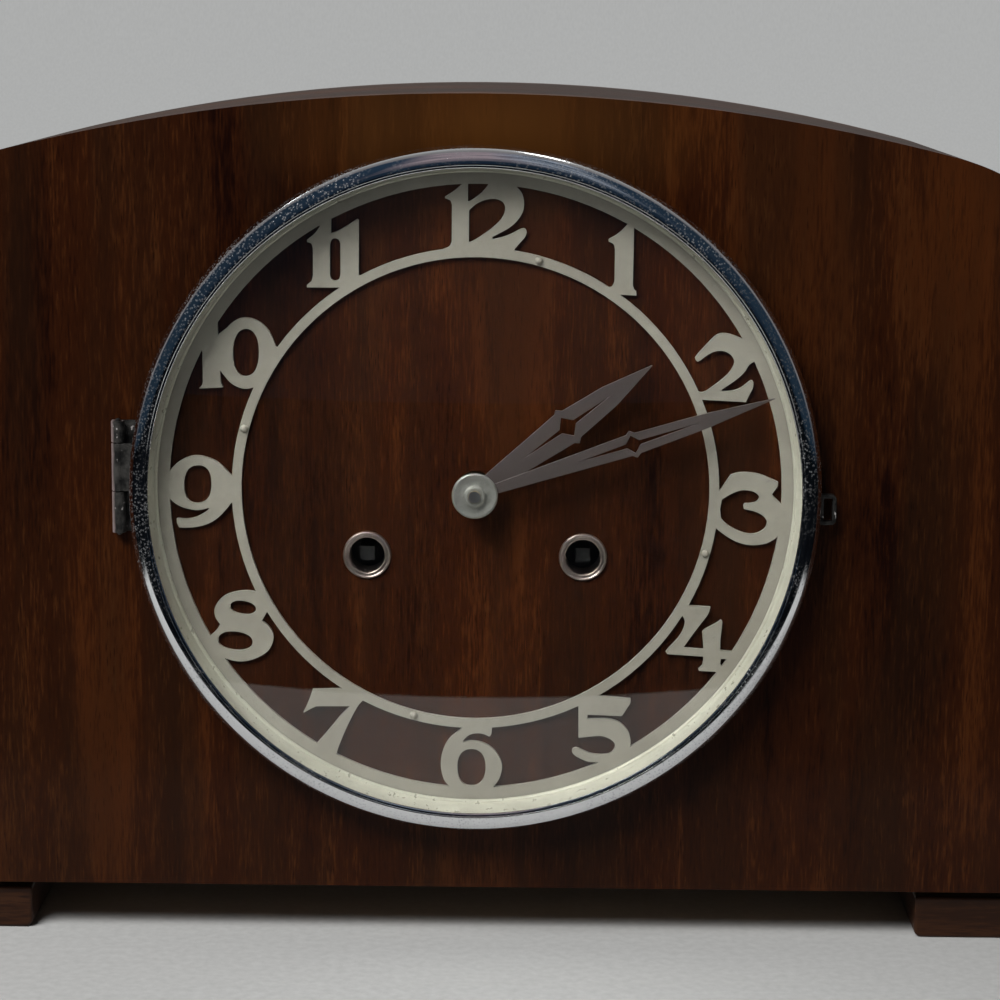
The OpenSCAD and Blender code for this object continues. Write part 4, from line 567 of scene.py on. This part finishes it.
def meshPiece(name, points, faces, smooth=True):
    mesh = bpy.data.meshes.new(name)
    mesh.from_pydata(points, [], faces)
    mesh.polygons.foreach_set("use_smooth", [smooth] * len(mesh.polygons))
    mesh.update()
    piece = bpy.data.objects.new(name, mesh)
    bpy.context.scene.collection.objects.link(piece)
    return piece


def arcPoints(centre, radius, start, end, steps):
    # points on a circle: centre + radius * (cos a, sin a), a running evenly from start to end in
    # degrees
    a = np.radians(np.linspace(start, end, steps + 1))
    return np.c_[centre[0] + radius * np.cos(a), centre[1] + radius * np.sin(a)]


def turned(name, profile, centre, steps):
    # a closed profile of (radius, distance in front of the board), in mm, swept round a line along
    # Y: x = cx + r cos t, z = cz + r sin t, y = face - out; points on the axis are drawn into one
    r = np.maximum(profile[:, 0], 0.0) * mm
    out = profile[:, 1] * mm
    t = np.linspace(0, 2 * np.pi, steps, endpoint=False)
    x = centre[0] + r[:, None] * np.cos(t)[None, :]
    z = centre[1] + r[:, None] * np.sin(t)[None, :]
    y = np.broadcast_to((faceY - out)[:, None], x.shape)
    points = np.stack([x, y, z], -1).reshape(-1, 3)
    rows = len(profile)
    i = np.arange(rows)[:, None]
    j = np.arange(steps)[None, :]
    nextRow, nextStep = (i + 1) % rows, (j + 1) % steps
    quads = np.stack(
        [i * steps + j, nextRow * steps + j, nextRow * steps + nextStep, i * steps + nextStep], -1
    ).reshape(-1, 4)
    piece = meshPiece(name, points.tolist(), quads.tolist())
    tidyMesh(piece)
    return piece


sharpFrom = 32  # a turned piece's edges stay hard from this angle on, in degrees
sameSpot = 1e-7


def tidyMesh(piece):
    # merges doubled points, drops faces without area, turns faces outwards, keeps hard edges hard
    work = bmesh.new()
    work.from_mesh(piece.data)
    bmesh.ops.remove_doubles(work, verts=work.verts, dist=sameSpot)
    bmesh.ops.dissolve_degenerate(work, edges=work.edges, dist=sameSpot)
    bmesh.ops.recalc_face_normals(work, faces=work.faces)
    limit = math.radians(sharpFrom)
    for edge in work.edges:
        edge.smooth = len(edge.link_faces) == 2 and edge.calc_face_angle(0.0) < limit
    work.to_mesh(piece.data)
    work.free()


def mapGrain(piece):
    # veneer bent round the case: u is the way along the outline, measured through the outline's
    # points in the order of their angle about the middle of the base, and v is the depth
    mesh = piece.data
    points = np.empty(len(mesh.vertices) * 3)
    mesh.vertices.foreach_get("co", points)
    points = points.reshape(-1, 3)
    angle = np.arctan2(points[:, 2], points[:, 0])
    radius = np.hypot(points[:, 0], points[:, 2])
    ways = np.linspace(angle.min(), angle.max(), 400)
    reach = np.array([radius[np.abs(angle - way) < 0.02].max(initial=0.2) for way in ways])
    line = np.c_[reach * np.cos(ways), reach * np.sin(ways)]
    along = np.r_[0.0, np.cumsum(np.linalg.norm(np.diff(line, axis=0), axis=1))]
    corners = np.empty(len(mesh.loops), dtype=np.int32)
    mesh.loops.foreach_get("vertex_index", corners)
    u = np.interp(angle[corners], ways, along)
    v = points[corners, 1] + radius[corners] * 0.15
    grainMap = mesh.uv_layers.new(name="grainMap")
    grainMap.data.foreach_set("uv", np.c_[u, v].ravel())


easedForm = {
    "merge": 2e-6,
    "flat": 0.6,  # faces that meet at less than this angle become one
    "corner": 38,  # edges sharper than this angle are eased
}
keptFlat = ("chapter_ring", "minute_hand", "hour_hand")


def softened(nodeName, width, segments):
    # a copy of a CAD node with its doubles merged and its hard edges eased by a small bevel
    rounded = nodeName not in keptFlat
    source = cadNodes[nodeName]
    piece = bpy.data.objects.new(nodeName + ".eased", source.data.copy())
    bpy.context.scene.collection.objects.link(piece)
    if piece.data.has_custom_normals:
        bpy.context.view_layer.objects.active = piece
        with bpy.context.temp_override(object=piece, active_object=piece):
            bpy.ops.mesh.customdata_custom_splitnormals_clear()
    work = bmesh.new()
    work.from_mesh(piece.data)
    bmesh.ops.remove_doubles(work, verts=work.verts, dist=easedForm["merge"])
    bmesh.ops.dissolve_limit(
        work,
        angle_limit=math.radians(easedForm["flat"]),
        verts=work.verts,
        edges=work.edges,
        use_dissolve_boundaries=False,
    )
    for face in work.faces:
        face.smooth = rounded
    for edge in work.edges:
        edge.smooth = True
    work.to_mesh(piece.data)
    work.free()
    if nodeName == "case_wrap":
        mapGrain(piece)
    bevel = piece.modifiers.new("easedEdges", "BEVEL")
    bevel.width = width * mm
    bevel.segments = segments
    bevel.limit_method = "ANGLE"
    bevel.angle_limit = math.radians(easedForm["corner"])
    bevel.harden_normals = rounded
    bevel.use_clamp_overlap = True
    return placed(piece, nodeName)


bezelForm = {
    "outer": 86.0,
    "inner": 82.3,
    "height": 11.3,
    "crown": 4.2,  # radius of the rounded front edge
    "lip": 80.8,
    "lipThick": 0.9,
    "lipRound": 0.45,
    "gap": 0.3,
    "foot": 0.35,  # rounding of the edge next to the board
    "stepIn": 0.15,  # the shallow step lies this far inside the crown
    "stepWide": 0.12,
    "stepTop": 0.02,  # depths of the step's two edges and of the lip below the front
    "stepFoot": 0.26,
    "lipDrop": 0.28,
}


def bezelProfile(f):
    # wall, quarter-round crown, a shallow step and a rolled lip, then back down the inside
    crownAt = (f["outer"] - f["crown"], f["height"] - f["crown"])
    stepR = crownAt[0] - f["stepIn"]
    lipC = (f["lip"] + f["lipRound"], f["height"] - f["lipDrop"] - f["lipRound"])
    lipBack = f["height"] - f["lipThick"]
    return np.vstack([
        arcPoints((f["outer"] - f["foot"], f["gap"] + f["foot"]), f["foot"], -90, 0, 5),
        arcPoints(crownAt, f["crown"], 0, 90, 28),
        [(stepR, f["height"] - f["stepTop"]), (stepR - f["stepWide"], f["height"] - f["stepFoot"])],
        arcPoints(lipC, f["lipRound"], 90, 180, 8),
        [(f["lip"], lipBack), (f["inner"], lipBack), (f["inner"], f["gap"])],
    ])


placed(turned("bezel.turned", bezelProfile(bezelForm), dial, 360), "bezel")

sightForm = {
    "wall": 82.2,
    "front": 8.6,
    "back": 1.5,
    "inner": 79.4,
    "roll": 0.55,
    "chamfer": 0.1,
    "steps": [(0.62, 0.0), (0.78, 1.5), (1.12, 2.0), (1.28, 3.4), (1.66, 3.9), (1.9, 5.0)],
}


def sightProfile(f):
    # an outer wall, then small coves and fillets stepping inwards and backwards to a rolled edge
    rows = [(f["wall"], f["back"]), (f["wall"], f["front"])]
    for inward, down in f["steps"]:
        rows.append((f["wall"] - inward, f["front"] - down))
    roll = arcPoints((f["inner"] + f["roll"], f["back"] + f["roll"]), f["roll"], 80, 180, 8)
    cut = f["chamfer"]
    return np.vstack([rows, roll, [(f["inner"], f["back"] + cut), (f["inner"] + cut, f["back"])]])


placed(turned("sight_ring.turned", sightProfile(sightForm), dial, 360), "sight_ring")

glassForm = {
    "edge": 82.2,
    "domeEdge": 80.7,
    "front": 10.3,
    "rise": 6.6,
    "thick": 1.6,
    "chamfer": 0.1,
    "rows": 40,
}


def glassProfile(f):
    # front sphere from the middle to its rim, the ground flat rim, then the back sphere
    radius = (f["domeEdge"] ** 2 + f["rise"] ** 2) / (2 * f["rise"])
    apex = f["front"] + f["rise"]
    r = np.linspace(0, f["domeEdge"], f["rows"])
    out = apex - radius + np.sqrt(radius ** 2 - r ** 2)
    front = np.c_[r, out]
    edge, cut, rear = f["edge"], f["chamfer"], f["front"] - f["thick"]
    rim = [
        (edge - cut, f["front"]), (edge, f["front"] - cut), (edge, rear + cut), (edge - cut, rear),
    ]
    return np.vstack([front, rim, front[::-1] - [0, f["thick"]]])


glassPiece = turned("glass.domed", glassProfile(glassForm), dial, 192)
placed(glassPiece, "glass")
glassPiece.visible_shadow = False

grommetForm = {
    "bore": 4.4,
    "shank": 5.2,
    "flange": 6.0,
    "roll": 0.42,
    "depth": 8.0,
    "saddle": (5.35, 0.66),  # radius and height of the dip between the two rolled edges
    "outerSink": 0.02,
    "innerSink": 0.06,
}


def grommetProfile(f):
    # a shank in the board and a flange rolled over at both its edges
    bore, shank, flange, roll, depth = (f[k] for k in ("bore", "shank", "flange", "roll", "depth"))
    return np.vstack([
        [(bore, -depth), (shank, -depth), (shank, 0.0), (flange, 0.0)],
        arcPoints((flange - roll, roll - f["outerSink"]), roll, 0, 90, 6),
        [f["saddle"]],
        arcPoints((bore + roll, roll - f["innerSink"]), roll, 90, 180, 6),
    ])


def joined(name, pieces):
    # several pieces put into one mesh
    work = bmesh.new()
    for piece in pieces:
        work.from_mesh(piece.data)
        bpy.data.objects.remove(piece)
    mesh = bpy.data.meshes.new(name)
    work.to_mesh(mesh)
    work.free()
    whole = bpy.data.objects.new(name, mesh)
    bpy.context.scene.collection.objects.link(whole)
    return whole


grommets = [
    turned("grommetSide", grommetProfile(grommetForm), (side * winding[0], winding[1]), 96)
    for side in (-1, 1)
]
placed(joined("winding_grommets.rolled", grommets), "winding_grommets")

nutForm = {
    "out": 7.6,
    "washer": 5.7,
    "hole": 1.5,
    "nut": 2.6,
    "top": 2.0,
    "roll": 0.5,
    "rimLift": 0.42,
    "chamfer": (0.1, 0.12),
    "dish": [(4.6, 0.78), (3.7, 0.62), (3.0, 0.66), (2.62, 0.78)],
    "bossSink": 0.02,
}


def nutProfile(f):
    # a dished washer with a raised rim, and a small domed nut with a rolled edge on it
    out, washer, roll = f["out"], f["washer"], f["roll"]
    cutIn, cutUp = f["chamfer"]
    return np.vstack([
        [(f["hole"], out), (washer - cutIn, out), (washer, out + cutUp)],
        arcPoints((washer - roll, out + f["rimLift"]), roll, 0, 90, 6),
        [(radius, out + height) for radius, height in f["dish"]],
        arcPoints((f["nut"] - roll, out + f["top"] - roll), roll, 0, 90, 6),
        [(f["hole"], out + f["top"] - f["bossSink"])],
    ])


placed(turned("hand_nut.turned", nutProfile(nutForm), dial, 128), "hand_nut")

for nodeName, width, segments in [  # how wide each bevel is, in mm, and of how many strips
    ("chapter_ring", 0.16, 2),
    ("minute_hand", 0.24, 1),
    ("hour_hand", 0.26, 1),
    ("front_panel", 1.1, 4),
    ("case_wrap", 0.5, 2),
    ("back_frame", 1.4, 3),
    ("left_foot", 0.9, 3),
    ("right_foot", 0.9, 3),
    ("base_board", 0.6, 2),
    ("back_door", 1.2, 3),
    ("door_hinge_fixed", 0.2, 2),
    ("door_hinge_leaf", 0.2, 2),
    ("turn_button", 0.4, 2),
    ("button_screw", 0.2, 2),
    ("bezel_hinge_fixed", 0.18, 2),
    ("bezel_hinge_leaf", 0.18, 2),
    ("bezel_tab", 0.4, 3),
    ("front_plate", 0.2, 1),
    ("back_plate", 0.2, 2),
    ("pillar_nuts", 0.25, 2),
    ("pillars", 0.25, 2),
    ("mounting_lugs", 0.2, 2),
    ("lug_screws", 0.25, 2),
    ("pendulum_bob", 0.5, 3),
    ("rating_nut", 0.3, 2),
    ("pendulum_cock", 0.25, 2),
    ("gong_block", 1.2, 3),
    ("strike_hammer", 0.2, 2),
    ("glue_blocks", 0.6, 2),
]:
    softened(nodeName, width, segments)
print("pieces made")


cameraForm = {
    "distance": 0.700,
    "azimuth": 0.61,
    "elevation": 9.953,
    "aim": (0.00618, -0.00243),  # right of and above the dial centre
    "roll": 0.474,
    "lens": 100.49,
    "sensor": 36.0,
    "near": 0.01,
    "far": 50.0,
}


def makeCamera(f):
    a, e = math.radians(f["azimuth"]), math.radians(f["elevation"])
    aim = Vector((dial[0] + f["aim"][0], faceY, dial[1] + f["aim"][1]))
    back = Vector((math.sin(a) * math.cos(e), -math.cos(a) * math.cos(e), math.sin(e)))
    camera = bpy.data.cameras.new("photoCamera")
    camera.lens = f["lens"]
    camera.sensor_width = f["sensor"]
    camera.clip_start = f["near"]
    camera.clip_end = f["far"]
    stand = bpy.data.objects.new("photoCamera", camera)
    bpy.context.scene.collection.objects.link(stand)
    turn = back.to_track_quat("Z", "Y").to_matrix().to_4x4()
    roll = Matrix.Rotation(math.radians(f["roll"]), 4, "Z")
    stand.matrix_world = Matrix.Translation(aim + back * f["distance"]) @ turn @ roll
    bpy.context.scene.camera = stand


makeCamera(cameraForm)

studioForm = {
    "floorColour": (0.50, 0.50, 0.49),
    "wallColour": (0.425, 0.430, 0.427),
    "wallAt": 2.25,  # where the floor starts to bend up behind the clock
    "weaveShade": (0.10, 0.10, 0.10),
    "fade": (0.50, 1.15),  # distances over which the floor turns into the plain backdrop
    "halfWidth": 3.0,
    "front": -3.0,
    "height": 2.4,
    "bend": 0.35,
}


def makeSweep(f):
    # one sheet: floor, a quarter-round bend and an upright wall, drawn out along X
    bend = arcPoints((f["wallAt"], f["bend"]), f["bend"], -90, 0, 24)
    line = np.vstack([[(f["front"], 0.0)], bend, [(f["wallAt"] + f["bend"], f["height"])]])
    points = [(x, y, z) for y, z in line.tolist() for x in (-f["halfWidth"], f["halfWidth"])]
    faces = [(i, i + 1, i + 3, i + 2) for i in range(0, 2 * len(line) - 2, 2)]
    sweep = meshPiece("studioSweep", points, faces)
    paper = Finish("palePaper")
    weave = paper.noise(paper.place((420, 420, 90)), 1.0, 3.0)
    tone = paper.level(weave, 0.3, 0.7)
    distant = paper.level(paper.distance(), *f["fade"])
    wall = paper.blendColours(tone * 0.07, f["wallColour"], f["weaveShade"])
    made = paper.surface(
        glowing=(distant * (paper.seenStraight() + paper.mirrored()).clamped(), wall),
        colour=paper.blendColours(tone * 0.12, f["floorColour"], shaded(f["weaveShade"], 0.5)),
        rough=0.85,
        specular=0.2,
        normal=paper.bump(weave, 0.2, 0.0004),
    )
    made.cycles.emission_sampling = "NONE"
    sweep.data.materials.append(made)


makeSweep(studioForm)


lampTarget = (0.0, 0.0, 0.1)
lamps = {  # two lamps light without a white patch on the chrome, and two are there for its glints
    "skyLight": {"size": (1.1, 0.6), "power": 37.0, "at": (-0.75, -0.98, 1.30), "inMirrors": False},
    "leftGlint": {"size": (0.10, 0.24), "power": 0.8, "at": (-0.80, 0.36, 1.02),
                  "colour": (0.95, 0.98, 1.0)},
    "topGlint": {"size": (0.16, 0.10), "power": 0.6, "at": (0.26, 0.44, 1.36),
                 "colour": (1.0, 0.99, 0.97)},
    "backFill": {"size": (1.0, 0.6), "power": 14.0, "at": (0.5, 1.15, 1.25), "inMirrors": False},
}


def softLight(name, size, power, at, colour=(1, 1, 1), inMirrors=True):
    # a rectangular lamp turned towards the clock
    lamp = bpy.data.lights.new(name, "AREA")
    lamp.shape = "RECTANGLE"
    lamp.size, lamp.size_y = size
    lamp.energy = power
    lamp.color = colour
    stand = bpy.data.objects.new(name, lamp)
    bpy.context.scene.collection.objects.link(stand)
    direction = (Vector(at) - Vector(lampTarget)).normalized()
    turn = direction.to_track_quat("Z", "Y").to_matrix().to_4x4()
    stand.matrix_world = Matrix.Translation(Vector(at)) @ turn
    stand.visible_camera = False
    stand.visible_glossy = inMirrors


for lampName, lamp in lamps.items():
    softLight(lampName, **lamp)

darkRoom = {
    "paleAhead": 0.150,  # the lit table reaches this far in front of the board
    "paleSide": 0.06,  # and this far past each end
    "reach": 3.4,
    "back": 0.30,
    "lift": 0.0015,
    "colour": (0.0015, 0.0018, 0.0024),
    "mottled": 2.2,
}


def makeDarkRoom(f):
    # three flat sheets just over the floor, ahead of the lit table and at both its sides, which
    # only mirrors see
    near = faceY - f["paleAhead"]
    side = cadBox[1].x + f["paleSide"]
    reach, back = f["reach"], f["back"]
    corners = [
        (-reach, -reach, reach, near),
        (-reach, near, -side, back),
        (side, near, reach, back),
    ]
    lift = f["lift"]
    points = [(x, y, lift) for a, b, c, d in corners for x, y in ((a, b), (c, b), (c, d), (a, d))]
    faces = [(4 * i, 4 * i + 1, 4 * i + 2, 4 * i + 3) for i in range(3)]
    sheet = meshPiece("darkRoomFloor", points, faces, False)
    shade = Finish("darkRoomFloor")
    mottle = shade.level(shade.noise(shade.place((5, 5, 5)), 1.0, 3.0), 0.4, 0.7)
    tone = shade.blendColours(mottle, f["colour"], shaded(f["colour"], f["mottled"]))
    cloth = shade.node("BsdfDiffuse", inputs={"Color": tone})
    clear = shade.node("BsdfTransparent")
    mixed = shade.node("MixShader", inputs={0: shade.mirrored(), 1: clear, 2: cloth})
    shade.node("OutputMaterial", inputs={"Surface": mixed})
    sheet.data.materials.append(shade.material)
    sheet.visible_camera = False
    sheet.visible_diffuse = False
    sheet.visible_shadow = False


makeDarkRoom(darkRoom)

worldForm = {
    "backdrop": studioForm["wallColour"],
    "ambient": (0.045, 0.046, 0.047),
    "behind": (0.42, 0.425, 0.42),
    "aside": (0.014, 0.026, 0.042),
    "side": (0.20, 0.19, 0.195),  # a dim gleam sideways, which edges the bezel
    "low": (0.006, 0.007, 0.009),
    "level": (0.007, 0.013, 0.022),
    "high": (0.012, 0.023, 0.040),
    "rose": (0.30, 0.24, 0.26),  # a pale ceiling straight above
    "cold": (0.36, 0.40, 0.47),  # and broken patches of daylight to its right
    "roseAt": (-0.06, 0.20),  # x of the middle, half width
    "coldAt": (0.20, 0.19),
    "mottle": (9, 9, 9),
    "speckle": (60, 60, 60),
}


def makeWorld(f):
    # a little even light and a pale backdrop; mirrors see a dim room in front, pale patches above
    # and the wall behind
    world = bpy.data.worlds.new("studioRoom")
    bpy.context.scene.world = world
    room = Finish("studioRoom", world)
    direction = room.node("TexCoord", output="Generated")
    x, y, z = (room.part(axis, direction) for axis in "XYZ")
    mottle = room.noise(room.mapped(direction, f["mottle"]), 1.0, 5.0, 0.62)
    speckle = room.noise(room.mapped(direction, f["speckle"]), 1.0, 2.0)
    dim = room.ramp(
        z * 0.5 + 0.5 + (mottle - 0.5) * 0.16 + (speckle - 0.5) * 0.12,
        [(0.0, f["low"]), (0.48, f["level"]), (0.68, f["high"]), (0.95, shaded(f["high"], 1.6))],
    )
    above = room.level(z, 0.30, 0.62)

    def band(at):
        # full in the middle of the span and gone at its ends
        return room.level((x - at[0]).size(), at[1], at[1] * 0.4)

    rose = band(f["roseAt"]) * above * room.level(mottle + speckle * 0.2, 0.42, 0.66, 0.35, 1.0)
    cold = band(f["coldAt"]) * above * room.level(mottle + speckle * 0.25, 0.56, 0.72)
    dim = room.blendColours(cold, room.blendColours(rose, dim, f["rose"]), f["cold"])
    aside = room.level(x.size(), 0.33, 0.6) * room.level(z, -0.3, 0.0)
    dim = room.blendColours(aside, dim, f["aside"])
    gleam = room.level(y, -0.16, 0.0) * room.level(z, -0.05, 0.2)
    dim = room.blendColours(gleam, dim, f["side"])
    seen = room.blendColours(room.level(y, 0.1, 0.5), dim, f["behind"])
    plain = room.blendColours(room.seenStraight(), f["ambient"], f["backdrop"])
    colour = room.blendColours(room.mirrored(), plain, seen)
    background = room.node("Background", inputs={"Color": colour})
    room.node("OutputWorld", inputs={"Surface": background})


makeWorld(worldForm)
bpy.context.scene.view_settings.view_transform = "Standard"
print("studio set")
